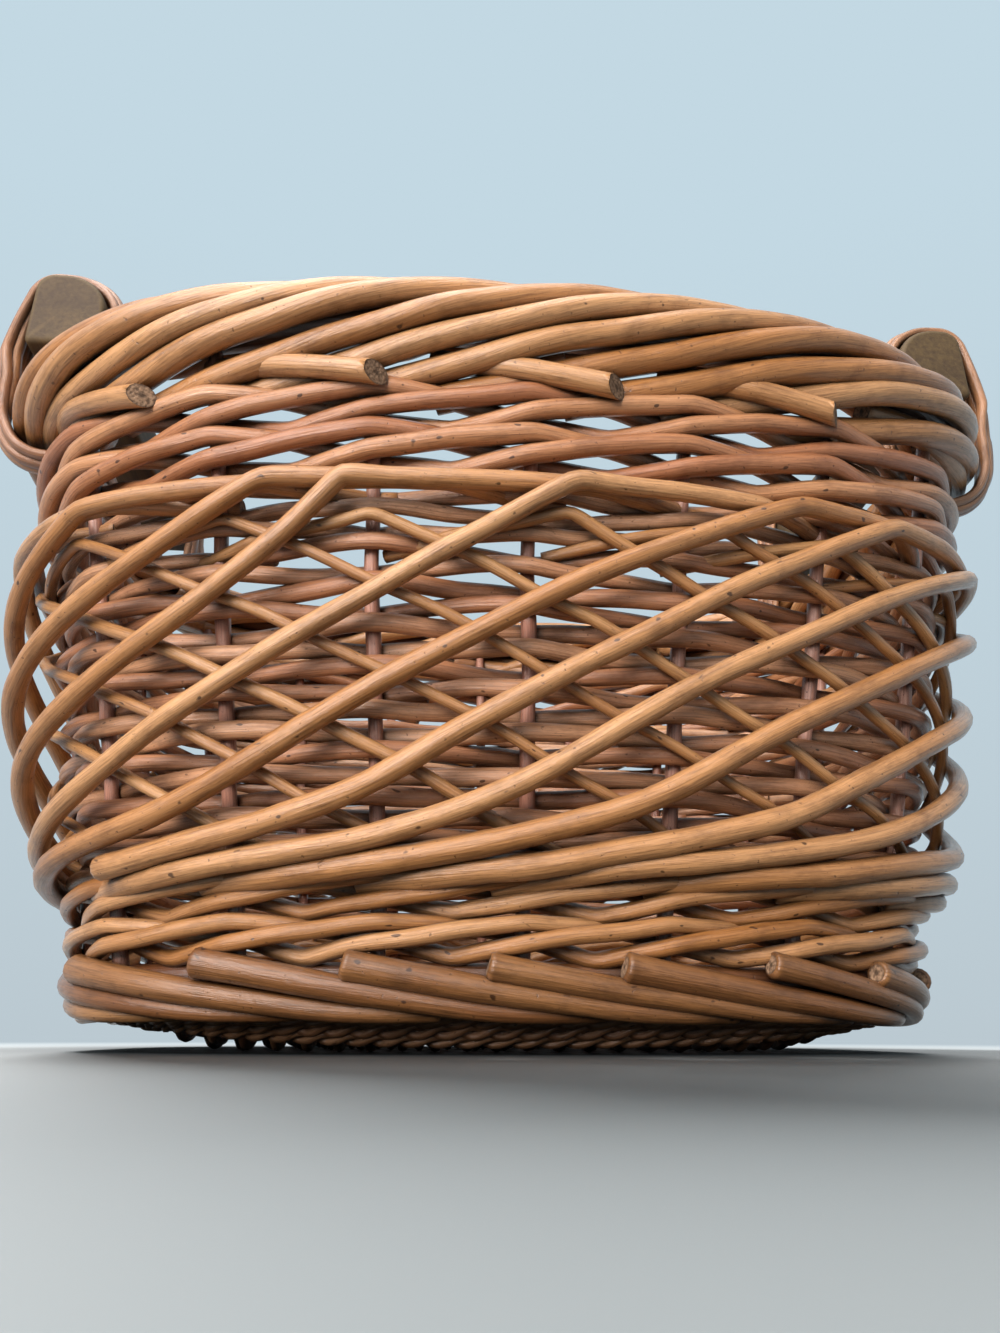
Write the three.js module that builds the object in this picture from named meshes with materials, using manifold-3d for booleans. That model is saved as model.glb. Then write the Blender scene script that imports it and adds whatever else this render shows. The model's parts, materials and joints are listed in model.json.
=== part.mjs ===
// Wicker gathering basket with two wooden grips, in millimetres, +Z up.
// The origin is on the floor under the middle of the basket; +X runs along its length.
// Every woven piece is first drawn in a round basket of the same girth, where a place is
// an angle, a distance out from the wall line and a height, and is then bent to the wall.
import * as THREE from 'three';
import { mergeVertices } from 'three/addons/utils/BufferGeometryUtils.js';
import Module from 'manifold-3d';

const wasm = await Module();
wasm.setup();

// Overall sizes
const rimLength = 406;
const rimWidth = 310;
const rimHeight = 246;
const footLength = 312;
const footWidth = 218;

// Plan of the wall: a rounded oblong, flatter at the ends than along the sides
const sideExponent = 2.2;
const endExponent = 4;

// Upright stakes, and the rods that are woven round them
const stakeCount = 20;
const stakeDiameter = 5;
const upsettRod = 5.5;
const weaveRod = 3.2;
const waleRod = 4.5;

// Bands of the wall from the foot up; the side weave fills what the others leave
const footHeight = 19;
const upsettHeight = 30;
const waleHeight = 41.5;
const openGap = 14;
const weaveRows = 16;

// Rolled border: rods laid one after another round the rim, and how many lie side by side in a section
const borderDiameter = 31;
const borderRods = 28;
const borderStrands = 8;
const strandRelief = 4;

// Base
const baseThickness = 10;
const baseLap = 2;
const baseStickCount = 5;
const baseStickDiameter = 7;
const baseStickPitch = 31;

// Foot border: a core ring with one butt-ended rod a stake laid along it
const footCoreWidth = 15;
const footRodDiameter = 9;
const footRodStandOff = 6;

// Crossed lattice on the outside: thick rods rise to the right over thin ones that fall
const latticeRod = 7.5;
const underRod = 4.5;
const latticeTailRise = 8;

// Grips and their lashings
const gripWidth = 28.5;
const gripHeight = 35;
const gripWaist = 3;
const gripOverhang = 6;
const gripInnerRadius = 13;
const gripOuterRadius = 7;
const gripBottomRadius = 4;
const gripBevel = 1.5;
const fingerGap = 12;
const lashingSpacing = 143;
const lashingWidth = 16;
const lashingThickness = 5;
const lashingSlack = 1.1;

// Fits
const clearance = 0.3;

// How finely curves are cut: each space between stakes is bent in this many straight steps
const stepsPerStake = 3;
const ringSegments = stakeCount * stepsPerStake;
const latticeTailSteps = 2 * stepsPerStake;
const latticeRunSteps = 10;
const latticeHeadSteps = 2;
const latticeFirstStep = 1;
const footRodSteps = 2 * stepsPerStake;
const footRodFirstStep = -1;
const stakeSides = 5;
const rodSides = 5;
const underRodSides = 4;
const footRodSides = 6;
const baseStickSides = 8;
const gripSteps = 8;
const gripCornerSteps = 2;
const lashingArcPoints = 6;
const weldDistance = 1e-4;

// Colours of varnished willow and of the grips
const honeyWillow = { color: 0xa8703a, roughness: 0.4, metalness: 0 };
const copperWillow = { color: 0x8f5530, roughness: 0.42, metalness: 0 };
const stakeWillow = { color: 0xa06a50, roughness: 0.45, metalness: 0 };
const lashingWillow = { color: 0xb98a5e, roughness: 0.5, metalness: 0 };
const greyWood = { color: 0x74624c, roughness: 0.75, metalness: 0 };

// Heights
const footBottom = baseThickness - baseLap;
const footTop = footBottom + footHeight;
const footMiddle = footBottom + footHeight / 2;
const upsettBottom = footTop + clearance;
const upsettTop = upsettBottom + upsettHeight;
const borderFlat = (borderDiameter - strandRelief) / 2;
const borderMiddle = rimHeight - borderDiameter / 2;
const borderBottom = borderMiddle - borderFlat;
const waleTop = borderBottom - openGap;
const waleBottom = waleTop - waleHeight;
const weaveBottom = upsettTop + clearance;
const weaveTop = waleBottom - clearance;

// Half thicknesses of the woven bands, either side of the wall line
const upsettHalf = stakeDiameter / 2 + upsettRod;
const weaveHalf = stakeDiameter / 2 + clearance + weaveRod;
const waleHalf = stakeDiameter / 2 + waleRod;

// Half sizes of the wall line at the foot and at the border
const footReach = footRodStandOff + footRodDiameter / 2;
const footHalf = new THREE.Vector2(footLength / 2 - footReach, footWidth / 2 - footReach);
const rimHalf = new THREE.Vector2(rimLength - borderDiameter, rimWidth - borderDiameter).divideScalar(2);

function wallHalf(z) {
  return footHalf.clone().lerp(rimHalf, (z - footMiddle) / (borderMiddle - footMiddle));
}

// The plan curve of unit half sizes, walked in equal steps of the border's girth
const planSteps = 2400;
const planPoints = [];
const planLengths = [0];
for (let i = 0; i <= planSteps; i += 1) {
  const angle = (2 * Math.PI * i) / planSteps;
  const across = Math.cos(angle);
  const along = Math.sin(angle);
  planPoints.push(new THREE.Vector2(
    Math.sign(across) * Math.abs(across) ** (2 / sideExponent),
    Math.sign(along) * Math.abs(along) ** (2 / endExponent),
  ));
  if (i > 0) {
    const step = planPoints[i].clone().sub(planPoints[i - 1]).multiply(rimHalf).length();
    planLengths.push(planLengths[i - 1] + step);
  }
}
const girth = planLengths[planSteps];
const roundRadius = girth / (2 * Math.PI);

function planAt(turn) {
  const target = (turn - Math.floor(turn)) * girth;
  let low = 0;
  let high = planSteps;
  while (high - low > 1) {
    const middle = (low + high) >> 1;
    if (planLengths[middle] <= target) {
      low = middle;
    } else {
      high = middle;
    }
  }
  const share = (target - planLengths[low]) / (planLengths[high] - planLengths[low]);
  return planPoints[low].clone().lerp(planPoints[high], share);
}

// A place on the wall: turn from 0 to 1 counter-clockwise from the +X end, out from the wall line
function wallPoint(turn, out, z) {
  const unit = planAt(turn);
  const half = wallHalf(z);
  const normal = new THREE.Vector2(
    (sideExponent / half.x) * Math.sign(unit.x) * Math.abs(unit.x) ** (sideExponent - 1),
    (endExponent / half.y) * Math.sign(unit.y) * Math.abs(unit.y) ** (endExponent - 1),
  ).normalize();
  return new THREE.Vector3(unit.x * half.x + out * normal.x, unit.y * half.y + out * normal.y, z);
}

// Bends a round drawing to the wall; with a level, its section stays upright over the wall line there
function bendToWall(geometry, level) {
  const place = geometry.attributes.position;
  for (let i = 0; i < place.count; i += 1) {
    const turn = Math.atan2(place.getY(i), place.getX(i)) / (2 * Math.PI);
    const out = Math.hypot(place.getX(i), place.getY(i)) - roundRadius;
    const point = wallPoint(turn, out, level ?? place.getZ(i));
    place.setXY(i, point.x, point.y);
  }
  return geometry;
}

// Joining and cutting of closed meshes
function toSolid(geometry) {
  const bare = geometry.clone();
  bare.deleteAttribute('normal');
  bare.deleteAttribute('uv');
  const merged = mergeVertices(bare, weldDistance);
  return new wasm.Manifold(new wasm.Mesh({
    numProp: 3,
    vertProperties: new Float32Array(merged.attributes.position.array),
    triVerts: new Uint32Array(merged.index.array),
  }));
}

function toGeometry(solid) {
  const mesh = solid.getMesh();
  const geometry = new THREE.BufferGeometry();
  geometry.setAttribute('position', new THREE.BufferAttribute(new Float32Array(mesh.vertProperties), 3));
  geometry.setIndex(new THREE.BufferAttribute(new Uint32Array(mesh.triVerts), 1));
  return geometry;
}

function join(geometries) {
  return toGeometry(geometries.map(toSolid).reduce((whole, piece) => whole.add(piece)));
}

function cut(geometry, cutters) {
  return toGeometry(cutters.map(toSolid).reduce((whole, piece) => whole.subtract(piece), toSolid(geometry)));
}

// Outlines
function polygon(radius, sides, start = 0) {
  const points = [];
  for (let i = 0; i < sides; i += 1) {
    const angle = start + (2 * Math.PI * i) / sides;
    points.push(new THREE.Vector2(radius * Math.cos(angle), radius * Math.sin(angle)));
  }
  return points;
}

function stakeOutline(index, radius) {
  const around = (2 * Math.PI * index) / stakeCount;
  const centre = new THREE.Vector2(roundRadius, 0);
  return polygon(radius, stakeSides).map((point) => point.add(centre).rotateAround(new THREE.Vector2(), around));
}

// A ring round the basket whose section is given as [out, height] corners
function ringRound(section, level) {
  const profile = section.map(([out, z]) => new THREE.Vector2(roundRadius + out, z));
  profile.push(profile[0].clone());
  const ring = new THREE.LatheGeometry(profile, ringSegments).rotateX(Math.PI / 2);
  return bendToWall(ring, level);
}

// A woven band of the wall, with a channel through it for each stake
function wovenBand(bottom, top, half) {
  const band = new THREE.Shape(polygon(roundRadius + half, ringSegments));
  band.holes.push(new THREE.Path(polygon(roundRadius - half, ringSegments)));
  for (let i = 0; i < stakeCount; i += 1) {
    band.holes.push(new THREE.Path(stakeOutline(i, stakeDiameter / 2 + clearance)));
  }
  const solid = new THREE.ExtrudeGeometry(band, { depth: top - bottom, bevelEnabled: false });
  return bendToWall(solid.translate(0, 0, bottom));
}

function stake(index) {
  const bottom = footTop + clearance;
  const top = borderBottom - clearance;
  const shape = new THREE.Shape(stakeOutline(index, stakeDiameter / 2));
  const solid = new THREE.ExtrudeGeometry(shape, { depth: top - bottom, bevelEnabled: false });
  return bendToWall(solid.translate(0, 0, bottom));
}

// The middle line of a rod along the wall, through places given as [steps from its start, out, height]
class RodPath extends THREE.Curve {
  constructor(firstStep, places) {
    super();
    this.firstStep = firstStep;
    this.places = places;
    this.stepCount = places[places.length - 1][0];
  }

  getPoint(share) {
    const step = share * this.stepCount;
    let next = 1;
    while (next < this.places.length - 1 && this.places[next][0] < step) {
      next += 1;
    }
    const [fromStep, fromOut, fromZ] = this.places[next - 1];
    const [toStep, toOut, toZ] = this.places[next];
    const part = (step - fromStep) / (toStep - fromStep);
    const out = THREE.MathUtils.lerp(fromOut, toOut, part);
    const z = THREE.MathUtils.lerp(fromZ, toZ, part);
    return wallPoint((this.firstStep + step) / ringSegments, out, z);
  }

  // Even steps round the wall, so that every rod bends where the bands bend
  getPointAt(share) {
    return this.getPoint(share);
  }

  getTangentAt(share) {
    return this.getTangent(share);
  }
}

function rodAlong(firstStep, places, radius, sides) {
  const path = new RodPath(firstStep, places);
  const shape = new THREE.Shape(polygon(radius, sides));
  return new THREE.ExtrudeGeometry(shape, { steps: path.stepCount, bevelEnabled: false, extrudePath: path });
}

// A closed skin over sections of the wall, each a loop of corners, with the last section on the first
function skinRound(sections) {
  const corners = sections[0].length;
  const triangles = [];
  for (let i = 0; i < sections.length - 1; i += 1) {
    for (let j = 0; j < corners; j += 1) {
      const here = i * corners;
      const next = here + corners;
      const k = (j + 1) % corners;
      triangles.push(here + j, next + j, next + k, here + j, next + k, here + k);
    }
  }
  const skin = new THREE.BufferGeometry().setFromPoints(sections.flat());
  skin.setIndex(triangles);
  return mergeVertices(skin, weldDistance);
}

// Rolled border: strands that climb the outside to the right, go over the top and back inside like
// those of a rope, with a flat underside that the stakes run into
function rolledBorder() {
  const crest = borderDiameter / 2;
  const strand = (2 * Math.PI) / borderStrands;
  const sections = [];
  for (let step = 0; step <= ringSegments; step += 1) {
    const turn = step / ringSegments;
    const section = [];
    for (let i = 0; i < borderStrands; i += 1) {
      for (const [share, radius] of [[0, crest - strandRelief], [1 / 3, crest], [2 / 3, crest]]) {
        const angle = (i + share + borderRods * turn) * strand;
        const rise = Math.max(radius * Math.sin(angle), -borderFlat);
        section.push(wallPoint(turn, radius * Math.cos(angle), borderMiddle).setZ(borderMiddle + rise));
      }
    }
    sections.push(section);
  }
  return skinRound(sections);
}

// Side weave: in each row a flat rod passes in front of one stake and behind the next, and the rows
// are joined where they cross, along the middle of each space between stakes
function randedWeave() {
  const rowHeight = (weaveTop - weaveBottom) / weaveRows;
  const stakeFace = stakeDiameter / 2 + clearance;
  const points = [];
  const triangles = [];

  function corner(step, out, z) {
    points.push(wallPoint(step / ringSegments, out, z));
    return points.length - 1;
  }

  function face(a, b, c, d) {
    triangles.push(a, b, c, a, c, d);
  }

  // Corners of each row's section, at every step: inner low, outer low, outer high, inner high
  const sections = [];
  for (let step = 0; step < ringSegments; step += 1) {
    const stakeIndex = step / stepsPerStake;
    const rows = [];
    if (Number.isInteger(stakeIndex)) {
      for (let row = 0; row < weaveRows; row += 1) {
        const inner = (stakeIndex + row) % 2 === 0 ? stakeFace : -stakeFace - weaveRod;
        const outer = inner + weaveRod;
        const low = weaveBottom + row * rowHeight + clearance;
        const high = weaveBottom + (row + 1) * rowHeight - clearance;
        rows.push([
          corner(step, inner, low), corner(step, outer, low),
          corner(step, outer, high), corner(step, inner, high),
        ]);
      }
    } else {
      let low = [corner(step, -weaveRod / 2, weaveBottom), corner(step, weaveRod / 2, weaveBottom)];
      for (let row = 1; row <= weaveRows; row += 1) {
        const top = weaveBottom + row * rowHeight;
        const high = [corner(step, -weaveRod / 2, top), corner(step, weaveRod / 2, top)];
        rows.push([low[0], low[1], high[1], high[0]]);
        low = high;
      }
    }
    sections.push(rows);
  }

  for (let step = 0; step < ringSegments; step += 1) {
    const next = (step + 1) % ringSegments;
    const joined = step % stepsPerStake > 0 && next % stepsPerStake > 0;
    for (let row = 0; row < weaveRows; row += 1) {
      const [a, b, c, d] = sections[step][row];
      const [e, f, g, h] = sections[next][row];
      face(b, f, g, c);
      face(a, d, h, e);
      if (!joined || row === weaveRows - 1) {
        face(c, g, h, d);
      }
      if (!joined || row === 0) {
        face(b, a, e, f);
      }
    }
  }
  const weave = new THREE.BufferGeometry().setFromPoints(points);
  weave.setIndex(triangles);
  return weave;
}

// Foot border: butt ends stand up at the left and each rod runs down to the right under the next
function footBorder() {
  const inner = footRodStandOff - footCoreWidth;
  const core = ringRound([
    [inner, footBottom], [footRodStandOff, footBottom], [footRodStandOff, footTop], [inner, footTop],
  ], footMiddle);
  const radius = footRodDiameter / 2;
  const dip = radius / 3;
  const rods = [];
  for (let i = 0; i < stakeCount; i += 1) {
    rods.push(rodAlong(i * stepsPerStake + footRodFirstStep, [
      [0, footRodStandOff, footTop - radius],
      [footRodSteps / 3, footRodStandOff, footMiddle + dip],
      [2 * footRodSteps / 3, footRodStandOff - dip, footBottom + radius + dip],
      [footRodSteps, footRodStandOff - radius, footBottom + radius],
    ], radius, footRodSides));
  }
  return join([core, ...rods]);
}

// Base: a woven plate inside the foot border, with its lengthwise sticks in channels
const baseInset = footRodStandOff - footCoreWidth - clearance;

function basePlate() {
  const outline = [];
  for (let i = 0; i < ringSegments; i += 1) {
    const point = wallPoint(i / ringSegments, baseInset, footMiddle);
    outline.push(new THREE.Vector2(point.x, point.y));
  }
  const shape = new THREE.Shape(outline);
  const plate = new THREE.ExtrudeGeometry(shape, { depth: baseThickness, bevelEnabled: false });
  const channels = [];
  for (let i = 0; i < baseStickCount; i += 1) {
    channels.push(baseStick(i, baseStickDiameter / 2 + clearance, footLength));
  }
  return cut(plate, channels);
}

function baseStickPlace(index) {
  return (index - (baseStickCount - 1) / 2) * baseStickPitch;
}

function baseStickLength(index) {
  const half = wallHalf(footMiddle).addScalar(baseInset);
  const reach = Math.abs(baseStickPlace(index) / half.y) + baseStickDiameter / 2 / half.y;
  return 2 * half.x * (1 - reach ** endExponent) ** (1 / sideExponent) - 2 * clearance;
}

function baseStick(index, radius, length) {
  const stick = new THREE.CylinderGeometry(radius, radius, length, baseStickSides).rotateZ(Math.PI / 2);
  return stick.translate(0, baseStickPlace(index), baseThickness / 2);
}

// Lattice: the thick rods' tails lie along the upsett, one above the other; each then climbs over the
// thin rods and bends sharply to lie along the foot of the top wale
const underOut = weaveHalf + clearance + underRod / 2;
const overOut = weaveHalf + underRod + 2 * clearance + latticeRod / 2;
const underBottom = weaveBottom + 2 * underRod;
const underTop = weaveTop - underRod;
const overFoot = upsettTop;
const overHead = waleBottom + latticeRod;

function overRod(index) {
  const footOut = upsettHalf + clearance + latticeRod / 2;
  const headOut = waleHalf + clearance + latticeRod / 2;
  const tailDrop = (latticeTailRise * latticeTailSteps) / stepsPerStake;
  const runFoot = latticeTailSteps + 1;
  const runHead = runFoot + latticeRunSteps;
  return rodAlong(index * stepsPerStake + latticeFirstStep - latticeTailSteps, [
    [0, footOut, overFoot - tailDrop],
    [latticeTailSteps, footOut, overFoot],
    [runFoot, overOut, weaveBottom + latticeRod / 2],
    [runHead, overOut, weaveTop],
    [runHead + 1, headOut, overHead],
    [runHead + 1 + latticeHeadSteps, headOut, overHead],
  ], latticeRod / 2, rodSides);
}

function underLattice() {
  const radius = underRod / 2;
  const ring = ringRound(polygon(radius, underRodSides).map(({ x, y }) => [underOut + x, underTop + y]), underTop);
  const rods = [];
  for (let i = 0; i < stakeCount; i += 1) {
    rods.push(rodAlong(i * stepsPerStake + 1, [
      [0, underOut, underTop],
      [latticeRunSteps, underOut, underBottom],
    ], radius, underRodSides));
  }
  return join([ring, ...rods]);
}

// Grips: each stands over the border at one end and swings about the border's middle line.
// The border's middle line at the +X end, where it has come this far to one side
function borderLine(y) {
  let step = 0;
  let from = wallPoint(0, 0, borderMiddle);
  let to = wallPoint(1 / ringSegments, 0, borderMiddle);
  while (to.y < y) {
    step += 1;
    from = to;
    to = wallPoint((step + 1) / ringSegments, 0, borderMiddle);
  }
  return from.lerp(to, (y - from.y) / (to.y - from.y));
}

const lashingY = lashingSpacing / 2;
const lashingInner = borderLine(lashingY - lashingWidth / 2);
const lashingOuter = borderLine(lashingY + lashingWidth / 2);
const lashingSlope = (lashingOuter.x - lashingInner.x) / lashingWidth;
const swingX = (lashingInner.x + lashingOuter.x) / 2;
const gripLength = lashingSpacing + lashingWidth + 2 * gripOverhang;
const gripBottom = rimHeight + fingerGap;
const gripTop = gripBottom + gripHeight;
const gripMiddle = (gripBottom + gripTop) / 2;

function roundedBlock(halfWidth, bottom, top, bottomRadius, innerRadius, outerRadius) {
  const shape = new THREE.Shape();
  shape.moveTo(-halfWidth + bottomRadius, bottom);
  shape.lineTo(halfWidth - bottomRadius, bottom);
  shape.absarc(halfWidth - bottomRadius, bottom + bottomRadius, bottomRadius, -Math.PI / 2, 0, false);
  shape.absarc(halfWidth - outerRadius, top - outerRadius, outerRadius, 0, Math.PI / 2, false);
  shape.absarc(-halfWidth + innerRadius, top - innerRadius, innerRadius, Math.PI / 2, Math.PI, false);
  shape.absarc(-halfWidth + bottomRadius, bottom + bottomRadius, bottomRadius, Math.PI, 1.5 * Math.PI, false);
  return shape;
}

// What is drawn for the +X end is turned half round for the other
function turnToEnd(geometry, side) {
  return side < 0 ? geometry.rotateZ(Math.PI) : geometry;
}

// The section is drawn across X and Z and pulled along Y; the middle is waisted for the hand
function grip(side) {
  const half = gripHeight / 2 - gripBevel;
  const shape = roundedBlock(
    gripWidth / 2 - gripBevel, -half, half,
    gripBottomRadius - gripBevel, gripInnerRadius - gripBevel, gripOuterRadius - gripBevel,
  );
  const depth = gripLength - 2 * gripBevel;
  const solid = new THREE.ExtrudeGeometry(shape, {
    depth,
    steps: gripSteps,
    curveSegments: gripCornerSteps,
    bevelThickness: gripBevel,
    bevelSize: gripBevel,
    bevelSegments: 1,
  }).translate(0, 0, -depth / 2);
  const place = solid.attributes.position;
  const waistReach = lashingY - lashingWidth / 2;
  for (let i = 0; i < place.count; i += 1) {
    const reach = Math.min(1, Math.abs(place.getZ(i)) / waistReach);
    const scale = 1 - (2 * gripWaist / gripHeight) * (1 - reach * reach);
    place.setXY(i, place.getX(i) * scale, place.getY(i) * scale);
  }
  return turnToEnd(solid.rotateX(Math.PI / 2), side).translate(side * swingX, 0, gripMiddle);
}

// Lashing: a flat loop of willow round the grip and the border, concentric with the border below
function lashingOutline(spread) {
  const low = (borderDiameter / 2) * Math.hypot(1, lashingSlope) + lashingSlack + spread;
  const high = gripWidth / 2 + clearance + spread;
  const outer = gripOuterRadius + spread;
  const inner = gripInnerRadius + spread;
  const top = gripTop + clearance + spread;
  const outline = new THREE.Path();
  outline.absarc(0, borderMiddle, low, Math.PI, 2 * Math.PI, false);
  outline.absarc(high - outer, top - outer, outer, 0, Math.PI / 2, false);
  outline.absarc(-high + inner, top - inner, inner, Math.PI / 2, Math.PI, false);
  return outline.getPoints(lashingArcPoints);
}

function lashing(side, end) {
  const loop = new THREE.Shape(lashingOutline(lashingThickness));
  loop.holes.push(new THREE.Path(lashingOutline(0)));
  const solid = new THREE.ExtrudeGeometry(loop, { depth: lashingWidth, bevelEnabled: false });
  turnToEnd(solid.translate(0, 0, -lashingWidth / 2).rotateX(Math.PI / 2), side);
  const place = solid.attributes.position;
  for (let i = 0; i < place.count; i += 1) {
    const lean = THREE.MathUtils.clamp((gripBottom - place.getZ(i)) / fingerGap, 0, 1);
    place.setX(i, place.getX(i) + lean * lashingSlope * side * end * place.getY(i));
  }
  return solid.translate(side * swingX, end * lashingY, 0);
}

// The assembly
const basket = new THREE.Group();

function addPiece(name, geometry, finish) {
  const mesh = new THREE.Mesh(geometry, new THREE.MeshStandardMaterial(finish));
  mesh.name = name;
  basket.add(mesh);
}

function numbered(name, index) {
  return `${name}_${String(index + 1).padStart(2, '0')}`;
}

addPiece('base_weave', basePlate(), copperWillow);
for (let i = 0; i < baseStickCount; i += 1) {
  addPiece(numbered('base_stick', i), baseStick(i, baseStickDiameter / 2, baseStickLength(i)), stakeWillow);
}
addPiece('foot_border', footBorder(), honeyWillow);
addPiece('upsett_wale', wovenBand(upsettBottom, upsettTop, upsettHalf), honeyWillow);
addPiece('side_weave', randedWeave(), copperWillow);
addPiece('top_wale', wovenBand(waleBottom, waleTop, waleHalf), copperWillow);
addPiece('rolled_border', rolledBorder(), honeyWillow);
addPiece('under_lattice', underLattice(), honeyWillow);
for (let i = 0; i < stakeCount; i += 1) {
  addPiece(numbered('stake', i), stake(i), stakeWillow);
  addPiece(numbered('lattice_rod', i), overRod(i), honeyWillow);
}
for (const [sideName, side] of [['left', -1], ['right', 1]]) {
  addPiece(`grip_${sideName}`, grip(side), greyWood);
  for (const [endName, end] of [['near', -1], ['far', 1]]) {
    addPiece(`lashing_${sideName}_${endName}`, lashing(side, end), lashingWillow);
  }
}

export default basket;
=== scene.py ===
import json

import bpy
import numpy as np
from mathutils import Matrix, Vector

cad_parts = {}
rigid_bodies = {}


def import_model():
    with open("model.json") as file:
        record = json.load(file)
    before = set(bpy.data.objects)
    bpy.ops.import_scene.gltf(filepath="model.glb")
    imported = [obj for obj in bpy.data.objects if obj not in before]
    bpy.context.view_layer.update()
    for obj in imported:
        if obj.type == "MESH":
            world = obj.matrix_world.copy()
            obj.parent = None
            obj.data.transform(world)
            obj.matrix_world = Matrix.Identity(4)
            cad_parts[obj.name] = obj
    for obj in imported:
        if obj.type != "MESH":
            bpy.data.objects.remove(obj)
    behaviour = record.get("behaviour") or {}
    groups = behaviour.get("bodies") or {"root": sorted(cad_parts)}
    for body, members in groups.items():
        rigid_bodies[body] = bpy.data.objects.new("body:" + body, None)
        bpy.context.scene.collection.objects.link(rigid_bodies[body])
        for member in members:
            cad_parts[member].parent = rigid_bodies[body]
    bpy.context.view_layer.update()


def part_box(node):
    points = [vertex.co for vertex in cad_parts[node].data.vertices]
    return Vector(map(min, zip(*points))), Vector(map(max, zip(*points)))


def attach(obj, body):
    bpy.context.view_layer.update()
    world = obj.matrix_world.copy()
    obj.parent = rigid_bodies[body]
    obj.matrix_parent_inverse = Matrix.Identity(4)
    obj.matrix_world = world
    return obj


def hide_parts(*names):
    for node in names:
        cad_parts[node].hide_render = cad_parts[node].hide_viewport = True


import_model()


# Camera
# The basket was photographed close up from just above the floor, from a little left of its middle
# and looking up. The focal length is in pixels of a frame 1000 pixels wide.
CAMERA_PLACE = (-31.7, -390.1, 6.0)
CAMERA_YAW = np.radians(4.77)
CAMERA_PITCH = np.radians(21.62)
CAMERA_ROLL = np.radians(0.18)
FOCAL_PIXELS = 924.8
PHOTO_WIDTH = 1000
NEAR_CLIP = 4.0
METRE = 0.001

forward = np.array((
    np.sin(CAMERA_YAW) * np.cos(CAMERA_PITCH),
    np.cos(CAMERA_YAW) * np.cos(CAMERA_PITCH),
    np.sin(CAMERA_PITCH),
))
level = np.array((np.cos(CAMERA_YAW), -np.sin(CAMERA_YAW), 0.0))
upward = np.cross(level, forward)
rightward = np.cos(CAMERA_ROLL) * level + np.sin(CAMERA_ROLL) * upward
upward = np.cos(CAMERA_ROLL) * upward - np.sin(CAMERA_ROLL) * level
lens = bpy.data.cameras.new("camera")
lens.sensor_fit = "HORIZONTAL"
lens.lens = lens.sensor_width * FOCAL_PIXELS / PHOTO_WIDTH
lens.clip_start = METRE * NEAR_CLIP
camera = bpy.data.objects.new("camera", lens)
bpy.context.collection.objects.link(camera)
turned = Matrix(np.stack([rightward, upward, -forward], 1).tolist()).to_4x4()
camera.matrix_world = Matrix.Translation([METRE * c for c in CAMERA_PLACE]) @ turned
bpy.context.scene.camera = camera


# Stakes
# Twenty straight willow rods carry the wall. They stand in the foot border, every band is woven
# round them, and their tops run up into the rolled border.
STAKES = 20
SIDE_EXPONENT = 2.2
END_EXPONENT = 4.0
FOOT_HALF = np.array((145.5, 98.5))
FOOT_Z = 17.5
RIM_HALF = np.array((187.5, 139.5))
BORDER_RADIUS = 15.5
STAKE_RADIUS = 2.5
STAKE_BOTTOM = 22.0
STAKE_TOP = 226.0
STAKE_STEPS = 41
# A sway or bulge is its size and the length of its longest wave. Tones run from pale, 0, to warm, 1
STAKE_SWAY = (0.014, 150)
STAKE_BULGE = (0.07, 60)
STAKE_TONES = (0.1, 0.8)
PLAN_STEPS = 4801
SWAY_SPREAD = (0.75, 1.3)
SWAY_RATES = np.array((1.0, 2.1, 3.9))[:, None]
SWAY_SHARES = np.array((0.6, 0.3, 0.16))[:, None]
RIM_STEPS = np.array((0.0, 0.12, 0.42, 1.0))
GRAIN_SHIFT = 173.0
SPECK = "#33190b"
BUD_SCAR = "#27130a"
# The colour of painted shade and settled varnish in the crevices between rods
CREVICE_VARNISH_AND_SHADE = "#1d0e06"
CREVICE_REACH = 9.0

border_high = np.array(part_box("rolled_border"))[1] / METRE
BORDER_Z = border_high[2] - BORDER_RADIUS
PLAN_POWER = np.array((SIDE_EXPONENT, END_EXPONENT))

plan_angle = np.linspace(0, 2 * np.pi, PLAN_STEPS)
plan_circle = np.stack([np.cos(plan_angle), np.sin(plan_angle)], -1)
plan_unit = np.sign(plan_circle) * np.abs(plan_circle) ** (2 / PLAN_POWER)
plan_steps = np.linalg.norm(np.diff(plan_unit, axis=0) * RIM_HALF, axis=1)
plan_walk = np.concatenate(([0.0], np.cumsum(plan_steps))) / plan_steps.sum()


def wall(stake, out, z):
    """A place on the wall. In plan the wall is |x/a|^2.2 + |y/b|^4 = 1, whose half sizes a and b
    grow evenly from the foot to the rim. stake counts stakes counter-clockwise from the +X end,
    evenly along the rim, out is measured square to the plan and z is the height."""
    stake, out, z = np.broadcast_arrays(np.asarray(stake, float), out, z)
    turn = (stake / STAKES) % 1.0
    unit = np.stack([np.interp(turn, plan_walk, plan_unit[:, i]) for i in (0, 1)], -1)
    share = ((z - FOOT_Z) / (BORDER_Z - FOOT_Z))[..., None]
    half = FOOT_HALF + (RIM_HALF - FOOT_HALF) * share
    square = PLAN_POWER / half * np.sign(unit) * np.abs(unit) ** (PLAN_POWER - 1)
    square = square / np.linalg.norm(square, axis=-1, keepdims=True)
    return np.concatenate([unit * half + out[..., None] * square, z[..., None]], -1)


def sway(rng, count, along, size, period):
    """Uneven bends of grown rods: for each rod the sum of three sine waves along it, one, a half
    and a quarter of the period long or about that, with random phases. Returns count x points."""
    waves = (count, len(SWAY_RATES), 1)
    rate = rng.uniform(*SWAY_SPREAD, waves) * SWAY_RATES / period
    phase = rng.uniform(0, 2 * np.pi, waves)
    along = np.broadcast_to(along, (count, np.shape(along)[-1]))[:, None]
    return size * (SWAY_SHARES * np.sin(2 * np.pi * rate * along + phase)).sum(1)


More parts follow.
